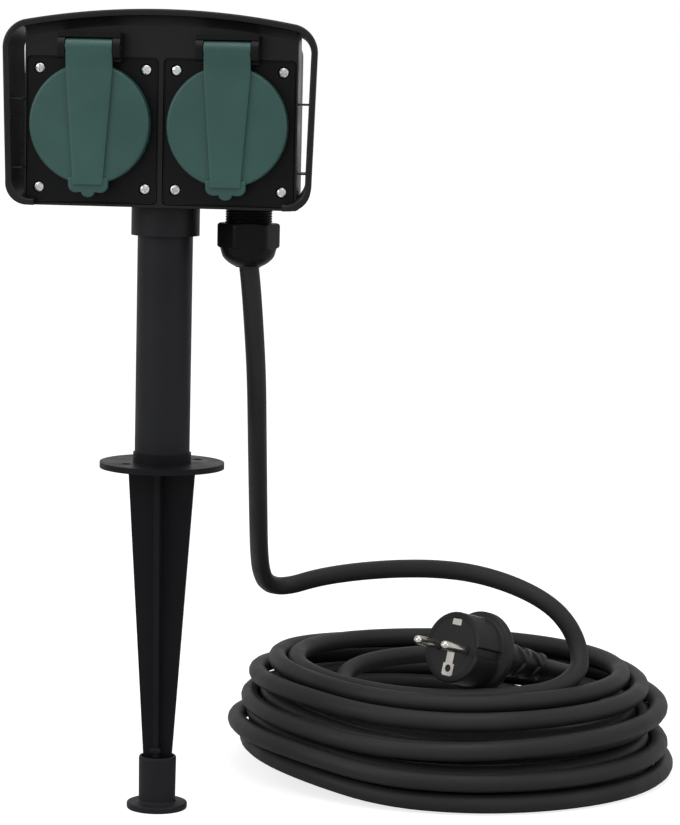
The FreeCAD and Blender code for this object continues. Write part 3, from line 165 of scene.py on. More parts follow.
def soft_rubber(name, colour, roughness=0.55, gloss=0.4):
    """Rubber: a dull skin with fine pores and faint dusty patches."""
    finish = Finish(name, colour, roughness, Specular_IOR_Level=gloss)
    finish.vary_colour(finish.noise(30, 6), shade(colour, 0.85), shade(colour, 1.25))
    finish.vary_roughness(finish.noise(60, 5), roughness * 0.9, roughness * 1.12)
    finish.bump(finish.noise(1500, 3), 0.00004)
    return finish.material


def bright_metal(name, colour, roughness):
    """Plated metal: a fine grain and cloudy dullness where it was touched."""
    finish = Finish(name, colour, roughness, Metallic=1.0)
    finish.vary_colour(finish.noise(120, 4), shade(colour, 0.8), shade(colour, 1.1))
    finish.vary_roughness(finish.noise(200, 5), roughness * 0.75, roughness * 1.35)
    finish.bump(finish.noise(900, 3), 0.00002)
    return finish.material


def skin(name):
    """The material of a name, made when it is first asked for."""
    return bpy.data.materials.get(name) or RECIPES[name](name, bpy.context.scene.garden_colours)


RECIPES = {
    "hood_gloss": lambda name, own: moulded_plastic(name, own.housing, 0.3, depth=0.00001, gloss=0.27),
    "cove_matt": lambda name, own: moulded_plastic(name, shade(own.housing, 1.2), 0.6, gloss=0.25),
    "rear_matt": lambda name, own: moulded_plastic(name, own.housing, 0.45, gloss=0.2),
    "module_skin": lambda name, own: moulded_plastic(name, shade(own.housing, 0.62), 0.36, gloss=0.15),
    "lid_skin": lambda name, own: moulded_plastic(name, own.lids, 0.42, gloss=0.42),
    "pole_skin": lambda name, own: moulded_plastic(name, own.pole, 0.45, gloss=0.14),
    "spike_skin": lambda name, own: moulded_plastic(name, shade(own.pole, 0.6), 0.42, gloss=0.1),
    "cap_skin": lambda name, own: soft_rubber(name, shade(own.pole, 0.85), gloss=0.15),
    "nylon": lambda name, own: moulded_plastic(name, shade(own.housing, 0.5), 0.36, gloss=0.12),
    "black_rubber": lambda name, own: soft_rubber(name, (0.012, 0.012, 0.012)),
    "plug_skin": lambda name, own: soft_rubber(name, (0.0095, 0.0095, 0.01), 0.45, 0.22),
    "bridge_skin": lambda name, own: moulded_plastic(name, (0.009, 0.009, 0.0095), 0.45, gloss=0.3),
    "zinc": lambda name, own: bright_metal(name, (0.8, 0.81, 0.82), 0.25),
    "nickel": lambda name, own: bright_metal(name, (0.72, 0.69, 0.64), 0.2),
    "tinned": lambda name, own: bright_metal(name, (0.62, 0.6, 0.54), 0.5),
    "brass": lambda name, own: bright_metal(name, (0.78, 0.58, 0.28), 0.25),
    "brown_wire": lambda name, own: moulded_plastic(name, (0.12, 0.045, 0.02), 0.4),
    "blue_wire": lambda name, own: moulded_plastic(name, (0.02, 0.09, 0.35), 0.4),
    "green_wire": lambda name, own: moulded_plastic(name, (0.2, 0.42, 0.03), 0.4),
}


def dress(name, material):
    """Puts a material on every slot of an object."""
    thing = bpy.data.objects[name]
    if not thing.material_slots:
        thing.data.materials.append(material)
    for slot in thing.material_slots:
        slot.material = material


# Surfaces worked out with numpy
def grid_faces(rows, columns, wrap_rows):
    """Index quads of a grid of closed rows, its last row joined to the first when wrapped."""
    row = np.arange(rows if wrap_rows else rows - 1)[:, None]
    column = np.arange(columns)[None, :]
    next_row, next_column = (row + 1) % rows, (column + 1) % columns
    quads = np.stack([row * columns + column, row * columns + next_column,
                      next_row * columns + next_column, next_row * columns + column], axis=-1)
    return quads.reshape(-1, 4)


def ring_mesh(rings, wrap_rows=False, caps=True):
    """A closed shell through rings of points: rings[i, j] is point j of closed ring i.

    The rings follow each other; the first and the last are filled by a cap, or joined when wrapped.
    """
    rings = np.asarray(rings, dtype=float)
    rows, columns = rings.shape[:2]
    faces = grid_faces(rows, columns, wrap_rows).tolist()
    if caps and not wrap_rows:
        faces.append(list(range(columns))[::-1])
        faces.append(list(range((rows - 1) * columns, rows * columns)))
    mesh = bpy.data.meshes.new("shell")
    mesh.from_pydata(rings.reshape(-1, 3).tolist(), [], faces)
    return mesh


def finish_piece(name, meshes, body, material, smooth=32):
    """Joins meshes into one piece with outward faces, smooth but for sharp edges."""
    whole = bmesh.new()
    for part in meshes:
        whole.from_mesh(part)
        bpy.data.meshes.remove(part)
    bmesh.ops.remove_doubles(whole, verts=whole.verts, dist=1e-7)
    bmesh.ops.recalc_face_normals(whole, faces=whole.faces)
    mesh = bpy.data.meshes.new(name)
    whole.to_mesh(mesh)
    whole.free()
    mesh.polygons.foreach_set("use_smooth", np.ones(len(mesh.polygons), dtype=bool))
    mesh.set_sharp_from_angle(angle=math.radians(smooth))
    mesh.materials.append(material)
    piece = bpy.data.objects.new(name, mesh)
    bpy.context.scene.collection.objects.link(piece)
    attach(piece, body)
    return piece


def surface(name, rings, body, material, wrap_rows=False, smooth=32):
    """One piece made of a single shell of rings."""
    return finish_piece(name, [ring_mesh(rings, wrap_rows)], body, material, smooth)


def turned_rings(profile, steps, middle=(0, 0, 0), across=(1, 0, 0), upward=(0, 1, 0), axis=(0, 0, 1)):
    """A profile of (radius, height) turned about an axis: the point at angle t is
    middle + radius * (cos t * across + sin t * upward) + height * axis."""
    across, upward, axis, middle = (np.array(line, dtype=float) for line in (across, upward, axis, middle))
    profile = np.asarray(profile, dtype=float)
    angle = np.linspace(0, 2 * np.pi, steps, endpoint=False)
    round_part = np.cos(angle)[:, None] * across + np.sin(angle)[:, None] * upward
    rings = profile[:, 0, None, None] * round_part[None] + profile[:, 1, None, None] * axis
    return (rings + middle) * MM


def rounded_profile(corners, radius, steps=4):
    """Rounds the corners of a profile: each inner corner becomes an arc-like curve.

    The curve is the quadratic Bezier whose ends lie on the two sides, a radius from the corner.
    """
    corners = np.asarray(corners, dtype=float)
    share = np.linspace(0, 1, steps + 1)[:, None]
    out = [corners[:1]]
    for before, here, after in zip(corners[:-2], corners[1:-1], corners[2:]):
        back, ahead = before - here, after - here
        reach_back = min(radius, 0.45 * np.linalg.norm(back))
        reach_ahead = min(radius, 0.45 * np.linalg.norm(ahead))
        start = here + back / np.linalg.norm(back) * reach_back
        end = here + ahead / np.linalg.norm(ahead) * reach_ahead
        out.append((1 - share) ** 2 * start + 2 * share * (1 - share) * here + share ** 2 * end)
    out.append(corners[-1:])
    return np.vstack(out)


def smooth_step(value, start, end):
    """Zero before the start, one after the end and a smooth rise between."""
    share = np.clip((value - start) / (end - start), 0, 1)
    return share * share * (3 - 2 * share)


def sweep_rings(path, sideways, outward, half_width, half_height, power=6.0, points=28):
    """Superellipse rings along a path: sides to the power n, so high powers give rounded bars."""
    angle = np.linspace(0, 2 * np.pi, points, endpoint=False)
    cosine, sine = np.cos(angle), np.sin(angle)
    across = (np.sign(cosine) * np.abs(cosine) ** (2 / power))[None, :, None]
    up = (np.sign(sine) * np.abs(sine) ** (2 / power))[None, :, None]
    half_width = np.broadcast_to(half_width, len(path))[:, None, None]
    half_height = np.broadcast_to(half_height, len(path))[:, None, None]
    return (path[:, None, :] + across * half_width * sideways[:, None, :]
            + up * half_height * outward[:, None, :]) * MM


def outline_normals(points, closed=True):
    """Outward unit normals of an outline that runs counter-clockwise in its own plane."""
    if closed:
        along = np.roll(points, -1, axis=0) - np.roll(points, 1, axis=0)
    else:
        along = np.gradient(points, axis=0)
    along /= np.linalg.norm(along, axis=1, keepdims=True)
    return np.stack([along[:, 1], -along[:, 0]], axis=1)


def edge_rings(line, normal, front, half_width, half_height, power, points=28):
    """Superellipse rings along a line in X and Z that lies at the front, square to the line."""
    path = np.insert(line, 1, front, axis=1)
    outward = np.insert(normal, 1, 0.0, axis=1)
    depth = np.tile((0.0, -1.0, 0.0), (len(path), 1))
    return sweep_rings(path, outward, depth, half_width, half_height, power, points)


def plate_rings(outline, front, rear, edge):
    """Rings of a plate whose outline stands in X and Z, with a rounded front edge."""
    normal = outline_normals(outline)
    rings = []
    for share in np.linspace(0, 1, 5):
        lean = share * math.pi / 2
        rings.append(np.insert(outline - normal * edge * (1 - math.sin(lean)), 1,
                               front + edge * (1 - math.cos(lean)), axis=1))
    rings.append(np.insert(outline, 1, rear, axis=1))
    return np.array(rings) * MM


def arc_points(start, via, end, count):
    """Points of the circle through three points, from the start to the end."""
    start, via, end = (np.array(point, dtype=float) for point in (start, via, end))
    sides = np.array([via - start, end - start])
    lengths = (np.array([via @ via, end @ end]) - start @ start) / 2
    middle = np.linalg.solve(sides, lengths)
    radius = np.linalg.norm(start - middle)
    angles = [math.atan2(*(point - middle)[::-1]) for point in (start, via, end)]
    sweep = (angles[2] - angles[0]) % (2 * math.pi)
    if (angles[1] - angles[0]) % (2 * math.pi) > sweep:
        sweep -= 2 * math.pi
    turn = angles[0] + sweep * np.linspace(0, 1, count)
    return middle + radius * np.stack([np.cos(turn), np.sin(turn)], axis=1)


def rounded_box(middle, width, height, radius, steps=6):
    """Outline of a rectangle with rounded corners, counter-clockwise."""
    turn = np.linspace(0, math.pi / 2, steps)
    corners = []
    for number, (x, z) in enumerate(((1, 1), (-1, 1), (-1, -1), (1, -1))):
        angle = turn + number * math.pi / 2
        corner = np.array((x * (width / 2 - radius), z * (height / 2 - radius)))
        corners.append(corner + radius * np.stack([np.cos(angle), np.sin(angle)], axis=1))
    return np.vstack(corners) + np.array(middle)


# The cord's route, in millimetres: the solids' route, its coil a little tighter and raised at the left
GLAND = (42.3, 0.0)
COIL_MIDDLE = np.array((145.0, 128.0, 0.0))
COIL_START = math.radians(-46)
# Each stage of the coil: its share of turns, and the radius and height at its end
COIL_STAGES = np.array([
    (0.0, 83.0, 56.0), (0.12, 84.2, 53.8), (0.88, 93.5, 54.0), (1.25, 106.7, 45.0),
    (0.25, 109.6, 39.6), (0.25, 112.3, 38.5), (0.25, 114.5, 35.7), (0.25, 113.0, 27.8), (3.0, 81.5, 38.0),
    (0.25, 80.0, 31.0), (0.25, 81.2, 23.0), (3.5, 118.0, 16.4), (0.25, 120.6, 11.8), (0.25, 118.6, 5.3),
    (3.0, 87.0, 5.3), (0.344, 78.5, 5.3)])
PLUG_FACE = np.array((147.6, 55.0, 79.3))
PLUG_TURN, PLUG_DIP = math.radians(51.0), math.radians(15.5)
PLUG_AXIS = np.array((math.cos(PLUG_TURN) * math.cos(PLUG_DIP),
                      math.sin(PLUG_TURN) * math.cos(PLUG_DIP), -math.sin(PLUG_DIP)))
PLUG_ACROSS = np.array((math.sin(PLUG_TURN), -math.cos(PLUG_TURN), 0.0))
PLUG_UP = np.cross(PLUG_AXIS, PLUG_ACROSS)
PLUG_END = 76.0
CORD_IN_PLUG, CORD_STRAIGHT = 4.0, 20.0
POINTS_A_TURN = 16
# How far the outer turns rise, and the spans of the smooth steps over which they do
COIL_RISE = 9.5
RISE_LEFT, RISE_OUTER = (10, 100), (70, 108)
RISE_BACK, RISE_HIGH = (0, 80), (20, 50)
LESS_AT_BACK, LESS_HIGH_UP = 0.5, 0.25


def coil_points():
    """The coil's control points: the stages give radius and height against turns, clockwise from
    above, and each point stands out by one over the cosine of half a step, so that the spline's
    turns keep the radius. The outer turns rise to the left, less so at the back and higher up: the
    rise is a product of smooth steps of the place across, the radius, the depth and the height."""
    marks = np.cumsum(COIL_STAGES[:, 0])
    turns = np.linspace(0, marks[-1], int(round(marks[-1] * POINTS_A_TURN)) + 1)
    radius = np.interp(turns, marks, COIL_STAGES[:, 1]) / math.cos(math.pi / POINTS_A_TURN)
    height = np.interp(turns, marks, COIL_STAGES[:, 2])
    angle = COIL_START - 2 * np.pi * turns
    across, depth = radius * np.cos(angle), radius * np.sin(angle)
    rise = (COIL_RISE * smooth_step(-across, *RISE_LEFT) * smooth_step(radius, *RISE_OUTER)
            * (1 - LESS_AT_BACK * smooth_step(depth, *RISE_BACK))
            * (1 - LESS_HIGH_UP * smooth_step(height, *RISE_HIGH)))
    return np.stack([across, depth, height + rise], axis=1) + COIL_MIDDLE


def polar_points(rows):
    """Points about the coil's middle from (degrees, radius, height)."""
    rows = np.array(rows, dtype=float)
    angle = np.radians(rows[:, 0])
    return np.stack([rows[:, 1] * np.cos(angle), rows[:, 1] * np.sin(angle), rows[:, 2]],
                    axis=1) + COIL_MIDDLE


def cord_route():
    """The whole cord from inside the gland, down and over to the coil, and to the plug's relief.

    The drop's points are counted from the gland's axis, the tail's from the coil's middle.
    """
    drop = np.array([
        (0, 0, 284), (1.1, 0.5, 276.4), (2.6, 4, 255.9), (3.7, 14, 224.4), (2.2, 34, 193.7),
        (-0.1, 62, 158.3), (-2.3, 88, 130.1), (-3.8, 106, 116.3), (-4.4, 121, 105.2), (-3.4, 134.5, 96.8),
        (1.6, 144.3, 92.6), (10.2, 149, 92.9), (20, 149, 96.3), (30.5, 145, 99.6), (42, 139, 102.7),
        (56, 131, 106), (73, 121, 109.2), (92, 111.5, 111.4), (111.5, 103.5, 111.4), (129.7, 97.8, 108.2),
        (145.6, 94.5, 102.6), (157.6, 93, 95.5), (165.4, 92.7, 87.1), (170, 92.7, 78.5),
        (172.4, 89.3, 70.4), (172.2, 82.7, 63.5)]) + np.array((*GLAND, 0.0))
    tail = polar_points([
        (-96, 77.0, 5.4), (-122, 75.0, 5.6), (-152, 70.0, 6.0), (-182, 68.0, 6.4), (-242, 66.0, 9.0),
        (-302, 65.0, 13.0), (-362, 65.0, 17.0), (-422, 66.0, 21.5), (-482, 66.0, 31.0),
        (-542, 67.5, 44.0), (-585, 68.5, 48.5), (-640, 69.5, 50.0), (-699, 70.0, 47.5)])
    relief = PLUG_FACE + PLUG_AXIS * PLUG_END
    straight = relief + PLUG_AXIS * CORD_STRAIGHT
    return np.vstack([drop, coil_points(), tail, straight, relief - PLUG_AXIS * CORD_IN_PLUG])


def spline_length(points):
    """Length of the order 3 spline: a chain of quadratic curves between the middles of its runs."""
    middles = (points[:-1] + points[1:]) / 2
    middles[0], middles[-1] = points[0], points[-1]
    share = np.linspace(0, 1, 17)[:, None, None]
    first, second, third = middles[:-1], points[1:-1], middles[1:]
    curve = (1 - share) ** 2 * first + 2 * share * (1 - share) * second + share ** 2 * third
    return np.linalg.norm(np.diff(curve, axis=0), axis=2).sum()


# The stage, in metres and watts; each lamp has its name, place, side and power
CAMERA_PLACE = Vector((0.22532, -1.50171, 0.38042))
CAMERA_YAW, CAMERA_PITCH, CAMERA_ROLL = (math.radians(angle) for angle in (-5.13, 6.519, 1.259))
FLOOR_REACH = 12.0
FLOOR_GLOW = 0.78
LAMP_AIM = Vector((0.09, 0.05, 0.2))
LAMPS = (("overhead", (0.1, -0.5, 2.0), 1.6, 16), ("left_box", (-1.6, -1.3, 1.1), 1.1, 12),
         ("right_box", (1.9, -1.0, 0.9), 1.1, 5))


class GARDEN_OT_stage(bpy.types.Operator):
    """Sets the camera, the pale floor and the white studio light"""
    bl_idname = "garden.stage"
    bl_label = "Stage"

    def execute(self, context):
        scene = context.scene
        sizes = scene.garden_stage
        self.camera(scene, sizes.lens)
        self.floor(scene)
        self.lamps(scene)
        self.studio(scene, sizes.sky)
        scene.view_settings.view_transform = "Standard"
        return {"FINISHED"}

    def camera(self, scene, focal_length):
        """A long lens that looks ahead along its yaw and pitch and leans by its roll."""
        ahead = Vector((math.sin(CAMERA_YAW) * math.cos(CAMERA_PITCH),
                        math.cos(CAMERA_YAW) * math.cos(CAMERA_PITCH), -math.sin(CAMERA_PITCH)))
        right = Vector((math.cos(CAMERA_YAW), -math.sin(CAMERA_YAW), 0))
        above = right.cross(ahead)
        leaned_right = right * math.cos(CAMERA_ROLL) + above * math.sin(CAMERA_ROLL)
        leaned_up = above * math.cos(CAMERA_ROLL) - right * math.sin(CAMERA_ROLL)
        lens = bpy.data.cameras.new("camera")
        lens.lens = focal_length
        lens.sensor_width = 36
        lens.clip_start, lens.clip_end = 0.05, 30
        camera = bpy.data.objects.new("camera", lens)
        turn = Matrix((leaned_right, leaned_up, -ahead)).transposed().to_4x4()
        camera.matrix_world = Matrix.Translation(CAMERA_PLACE) @ turn
        scene.collection.objects.link(camera)
        scene.camera = camera

    def floor(self, scene):
        """A wide plain floor, white to the camera and keeping the object's shadow."""
        mesh = bpy.data.meshes.new("floor")
        corners = [(x * FLOOR_REACH, y * FLOOR_REACH, 0) for x, y in ((-1, -1), (1, -1), (1, 1), (-1, 1))]
        mesh.from_pydata(corners, [], [(0, 1, 2, 3)])
        finish = Finish("floor_paper", (0.6, 0.6, 0.6), 0.9, Specular_IOR_Level=0.1)
        nodes, links = finish.nodes, finish.links
        rays = nodes.new("ShaderNodeLightPath")
        glow = nodes.new("ShaderNodeEmission")
        glow.inputs["Color"].default_value = (1, 1, 1, 1)
        glow.inputs["Strength"].default_value = FLOOR_GLOW
        paper = nodes.new("ShaderNodeBsdfDiffuse")
        paper.inputs["Color"].default_value = (0.42, 0.42, 0.42, 1)
        both = nodes.new("ShaderNodeAddShader")
        links.new(glow.outputs[0], both.inputs[0])
        links.new(paper.outputs[0], both.inputs[1])
        choice = nodes.new("ShaderNodeMixShader")
        links.new(rays.outputs["Is Camera Ray"], choice.inputs[0])
        links.new(finish.surface.outputs[0], choice.inputs[1])
        links.new(both.outputs[0], choice.inputs[2])
        links.new(choice.outputs[0], nodes["Material Output"].inputs["Surface"])
        mesh.materials.append(finish.material)
        thing = bpy.data.objects.new("floor", mesh)
        scene.collection.objects.link(thing)

    def lamps(self, scene):
        """Three wide soft boxes: one overhead and one on each side of the camera."""
        for name, spot, side, power in LAMPS:
            light = bpy.data.lights.new(name, "AREA")
            light.shape, light.size, light.energy = "SQUARE", side, power
            lamp = bpy.data.objects.new(name, light)
            lamp.location = spot
            lamp.rotation_euler = (LAMP_AIM - Vector(spot)).to_track_quat("-Z", "Y").to_euler()
            scene.collection.objects.link(lamp)

    def studio(self, scene, brightness):
        """A white studio: plain white to the camera, softer as light."""
        world = bpy.data.worlds.new("studio")
        world.use_nodes = True
        nodes, links = world.node_tree.nodes, world.node_tree.links
        rays = nodes.new("ShaderNodeLightPath")
        light = nodes["Background"]
        light.inputs["Color"].default_value = (1, 1, 1, 1)
        light.inputs["Strength"].default_value = brightness
        backdrop = nodes.new("ShaderNodeBackground")
        backdrop.inputs["Color"].default_value = (1, 1, 1, 1)
        choice = nodes.new("ShaderNodeMixShader")
        links.new(rays.outputs["Is Camera Ray"], choice.inputs[0])
        links.new(light.outputs[0], choice.inputs[1])
        links.new(backdrop.outputs[0], choice.inputs[2])
        links.new(choice.outputs[0], nodes["World Output"].inputs["Surface"])
        scene.world = world


class GARDEN_OT_cord(bpy.types.Operator):
    """Lays the rubber cord from the gland through the coil to the plug"""
    bl_idname = "garden.cord"
    bl_label = "Cord"

    def execute(self, context):
        sizes = context.scene.garden_cord
        points = cord_route()
        curve = bpy.data.curves.new("cord_run", "CURVE")
        curve.dimensions = "3D"
        curve.bevel_depth = sizes.diameter / 2
        curve.bevel_resolution = sizes.sides
        curve.use_fill_caps = True
        curve.resolution_u = 6
        spline = curve.splines.new("NURBS")
        spline.points.add(len(points) - 1)
        packed = np.hstack([points * MM, np.ones((len(points), 1))])
        spline.points.foreach_set("co", packed.ravel())
        spline.order_u = 3
        spline.use_endpoint_u = True
        run = bpy.data.objects.new("cord_run", curve)
        context.scene.collection.objects.link(run)
        curve.materials.append(soft_rubber("cord_rubber_skin", tuple(sizes.colour), gloss=0.22))
        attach(run, "stand")
        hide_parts("cord_drop", "cord_coil", "cord_tail")
        float(spline_length(points) * MM)
        return {"FINISHED"}


class GARDEN_OT_finishes(bpy.types.Operator):
    """Gives every solid of the frame its plastic, rubber or metal"""
    bl_idname = "garden.finishes"
    bl_label = "Finishes"

    def execute(self, context):
        wear = {
            "hood_gloss": ("front_frame",), "rear_matt": ("rear_housing",),
            "nylon": ("gland_body", "gland_nut", "gland_locknut"), "pole_skin": ("pole_tube",),
            "spike_skin": ("ground_spike",), "cap_skin": ("tip_cap",),
            "black_rubber": ("housing_seal", "gland_seal", "cord_drop", "cord_coil", "cord_tail"),
            "plug_skin": ("plug_body",), "bridge_skin": ("plug_bridge",),
            "zinc": ("housing_screws", "pole_screw"), "nickel": ("plug_pins",),
            "tinned": ("plug_earth_clips",),
            "brown_wire": ("wire_live",), "blue_wire": ("wire_neutral",), "green_wire": ("wire_earth",),
        }
        for side in SIDES:
            for name, skins in (("socket_", "module_skin"), ("lid_", "lid_skin"),
                                ("flange_seal_", "black_rubber"), ("lid_seal_", "black_rubber"),
                                ("flange_screws_", "zinc"), ("terminal_screws_", "zinc"),
                                ("hinge_pin_", "zinc"), ("lid_spring_", "zinc"),
                                ("live_contacts_", "brass"), ("earth_clips_", "nickel")):
                wear[skins] = wear.get(skins, ()) + (name + side,)
        for key, names in wear.items():
            for name in names:
                dress(name, skin(key))
        return {"FINISHED"}


# The hood's edge as (half width, height), and its trim's sizes and places along Y
HOOD_FOOT, HOOD_TOP = 310.4, 408.0
FOOT_END, HEEL_START, HEEL_VIA = 62.2, 64.3, (73.1, 313.9)
LOOP_LOW, LOOP_HIGH, KNEE_VIA, SHOULDER = (76.3, 322.4), (78.2, 388.0), (75.6, 396.2), (67.7, 401.7)
RIM_INSET, RIM_FRONT, RIM_HALF_WIDTH, RIM_HALF_DEPTH = 1.45, -28.5, 1.62, 1.8
COVE_INSET, COVE_DEPTH, COVE_FACE, COVE_BEHIND, COVE_LAP, COVE_ABOVE = 2.7, 6.5, -22.3, -22.0, 0.15, 398.6
LIP_WIDTH, LIP_HEIGHT, LIP_CORNER, LIP_FACE, LIP_DROP = 64.9, 71.5, 2.3, -22.05, 3.4
LIP_HALF_WIDTH, LIP_HALF_DEPTH = 0.34, 0.3


class GARDEN_OT_housing(bpy.types.Operator):
    """Rounds the hood: its rim bead, the cove under the hood and the lips round both sockets"""
    bl_idname = "garden.housing"
    bl_label = "Housing trim"

    def execute(self, context):
        self.rim()
        self.cove()
        for side, middle in SIDES.items():
            self.lip("flange_lip_" + side, middle)
        return {"FINISHED"}

    def hood_line(self, inset):
        """The rim's line from the right foot over the arch to the left foot, moved inwards."""
        foot = HOOD_FOOT + inset
        low, high = (LOOP_LOW[0] - inset, LOOP_LOW[1]), (LOOP_HIGH[0] - inset, LOOP_HIGH[1])
        shoulder = (SHOULDER[0] - inset * 0.2, SHOULDER[1] - inset)
        heel = arc_points((HEEL_START, foot), (HEEL_VIA[0] - inset, HEEL_VIA[1] + inset * 0.9), low, 14)
        knee = arc_points(high, (KNEE_VIA[0] - inset * 0.75, KNEE_VIA[1] - inset * 0.7), shoulder, 16)
        arch = arc_points(shoulder, (0, HOOD_TOP - inset), (-shoulder[0], shoulder[1]), 60)
        side = np.linspace(low, high, 20)
        half = np.vstack([[(FOOT_END, foot)], heel, side[1:-1], knee])
        mirror = half[::-1] * np.array((-1, 1))
        return np.vstack([half, arch[1:-1], mirror])

    def rim(self):
        """A bar of rounded section along the hood's front edge, where every ring stands square to
        the edge: its width lies along the edge's normal and its depth along Y."""
        line = self.hood_line(RIM_INSET)
        normal = outline_normals(line, closed=False)
        rings = edge_rings(line, normal, RIM_FRONT, RIM_HALF_WIDTH, RIM_HALF_DEPTH, power=3.2)
        surface("hood_rim", rings, "stand", skin("hood_gloss"))

    def cove(self):
        """A hollow quarter round between the hood's underside and the face behind it."""
        line = self.hood_line(COVE_INSET)
        line = line[line[:, 1] > COVE_ABOVE]
        inward = -outline_normals(line, closed=False)
        lean = np.linspace(0, math.pi / 2, 12)
        section = [(COVE_DEPTH * (1 - math.sin(turn)), COVE_FACE - COVE_DEPTH * (1 - math.cos(turn)))
                   for turn in lean]
        section += [(-COVE_LAP, COVE_FACE - COVE_DEPTH), (-COVE_LAP, COVE_BEHIND), (COVE_DEPTH, COVE_BEHIND)]
        section = np.array(section)
        path = np.insert(line, 1, 0.0, axis=1)
        drop = np.insert(inward, 1, 0.0, axis=1)
        rings = (path[:, None, :] + section[None, :, :1] * drop[:, None, :]
                 + section[None, :, 1:] * np.array((0.0, 1.0, 0.0))) * MM
        surface("hood_cove", rings, "stand", skin("cove_matt"))

    def lip(self, name, middle):
        """A fine raised line round a socket's square plate."""
        line = rounded_box((middle, LID_Z - LIP_DROP), LIP_WIDTH, LIP_HEIGHT, LIP_CORNER)
        normal = outline_normals(line)
        rings = edge_rings(line, normal, LIP_FACE, LIP_HALF_WIDTH, LIP_HALF_DEPTH, power=2.0, points=10)
        surface(name, rings, "stand", skin("module_skin"), wrap_rows=True)


# The lids, from their middle: the cup as (radius, Y), the barrel as (radius, X), the strap and the tab
CUP_PROFILE = [(0.0, -32.45), (15, -32.42), (29.1, -32.3), (30.0, -31.5), (30.0, -24.0), (28.0, -24.0),
               (28.0, -30.3), (0.0, -30.3)]
BARREL_PROFILE = [(3.0, -11.6), (3.4, -11.65), (4.0, -11.65), (4.0, 11.65), (3.0, 11.65)]
STRAP_FOOT, STRAP_WIDE_FROM, STRAP_TOP = -29.9, 24.75, 34.0
STRAP_SLIM, STRAP_WIDE, STRAP_FACE, STRAP_HALF = 7.5, 11.65, -34.5, 1.62
STRAP_SUNK, STRAP_SETBACK, SETBACK_SPAN = 1.6, 1.3, (28, 37)
ROLL_RADIUS, ROLL_TURN = 2.35, (-8, 78)
STRAP_STEPS, ROLL_STEPS = 30, 12
TAB_FRONT, TAB_REAR, TAB_EDGE = -33.2, -30.3, 0.8
LOBE_MIDDLE, LOBE_SIZE = np.array((-6.0, -30.2)), np.array((4.0, 3.8))
NUB_FOOT, NUB_SIZE, TAB_ROOT = np.array((0.0, -33.7)), np.array((3.3, 2.5)), (10.0, -26.5)


class GARDEN_OT_lids(bpy.types.Operator):
    """Shapes both round lids with their straps, barrels and finger tabs"""
    bl_idname = "garden.lids"
    bl_label = "Lids"

    def execute(self, context):
        for side, middle in SIDES.items():
            self.lid(side, middle)
        return {"FINISHED"}

    def lid(self, side, middle):
        """A shallow cup turned about the lid's middle, a tapering strap that rolls over the hinge
        barrel and a tab whose lower edge has two lobes and a nub between them."""
        cup = rounded_profile(CUP_PROFILE, 0.7)
        cup_rings = turned_rings(cup, 128, (middle, 0, LID_Z), (1, 0, 0), (0, 0, 1), (0, 1, 0))
        barrel = np.vstack([rounded_profile(BARREL_PROFILE, 0.45), BARREL_PROFILE[:1]])
        barrel_rings = turned_rings(barrel, 48, (middle, HINGE_Y, HINGE_Z), (0, 1, 0), (0, 0, 1), (1, 0, 0))
        shells = [ring_mesh(cup_rings, caps=False), ring_mesh(self.strap_rings(middle)),
                  ring_mesh(barrel_rings, caps=False)]
        tab = self.tab_outline() + np.array((middle, LID_Z))
        shells.append(ring_mesh(plate_rings(tab, TAB_FRONT, TAB_REAR, TAB_EDGE)))
        piece = finish_piece("lid_shape_" + side, shells, "lid_" + side, skin("lid_skin"), 40)
        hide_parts("lid_" + side)

    def strap_rings(self, middle):
        """A rounded bar up the lid's face, wider towards the top, that turns about the hinge over
        the barrel."""
        height = np.linspace(STRAP_FOOT, STRAP_TOP, STRAP_STEPS)
        width = np.interp(height, (STRAP_FOOT, STRAP_WIDE_FROM), (STRAP_SLIM, STRAP_WIDE))
        width = np.concatenate([width, np.full(ROLL_STEPS, STRAP_WIDE)])
        face = STRAP_FACE - STRAP_SETBACK * smooth_step(height, *SETBACK_SPAN)
        roll = np.radians(np.linspace(*ROLL_TURN, ROLL_STEPS))
        level = np.concatenate([face + STRAP_SUNK, HINGE_Y - ROLL_RADIUS * np.cos(roll)])
        upright = np.concatenate([height, HINGE_Z - LID_Z + ROLL_RADIUS * np.sin(roll)])
        out_y = np.concatenate([np.full(STRAP_STEPS, -1.0), -np.cos(roll)])
        out_z = np.concatenate([np.zeros(STRAP_STEPS), np.sin(roll)])
        path = np.stack([np.full(len(width), middle), level, upright + LID_Z], axis=1)
        outward = np.stack([np.zeros(len(width)), out_y, out_z], axis=1)
        sideways = np.tile((1.0, 0.0, 0.0), (len(width), 1))
        return sweep_rings(path, sideways, outward, width, STRAP_HALF, power=7.0, points=36)

    def tab_outline(self):
        """The tab's outline, counter-clockwise: quarter ellipses for the two lobes and a half
        ellipse for the nub between them."""
        turn = np.linspace(0, math.pi / 2, 9)
        left = LOBE_MIDDLE - LOBE_SIZE * np.stack([np.cos(turn), np.sin(turn)], axis=1)
        right = left[::-1] * np.array((-1, 1))
        across = np.linspace(-math.pi / 2, math.pi / 2, 13)
        nub = NUB_FOOT + NUB_SIZE * np.stack([np.sin(across), -np.cos(across)], axis=1)
        return np.vstack([left, nub, right, [TAB_ROOT, (-TAB_ROOT[0], TAB_ROOT[1])]])


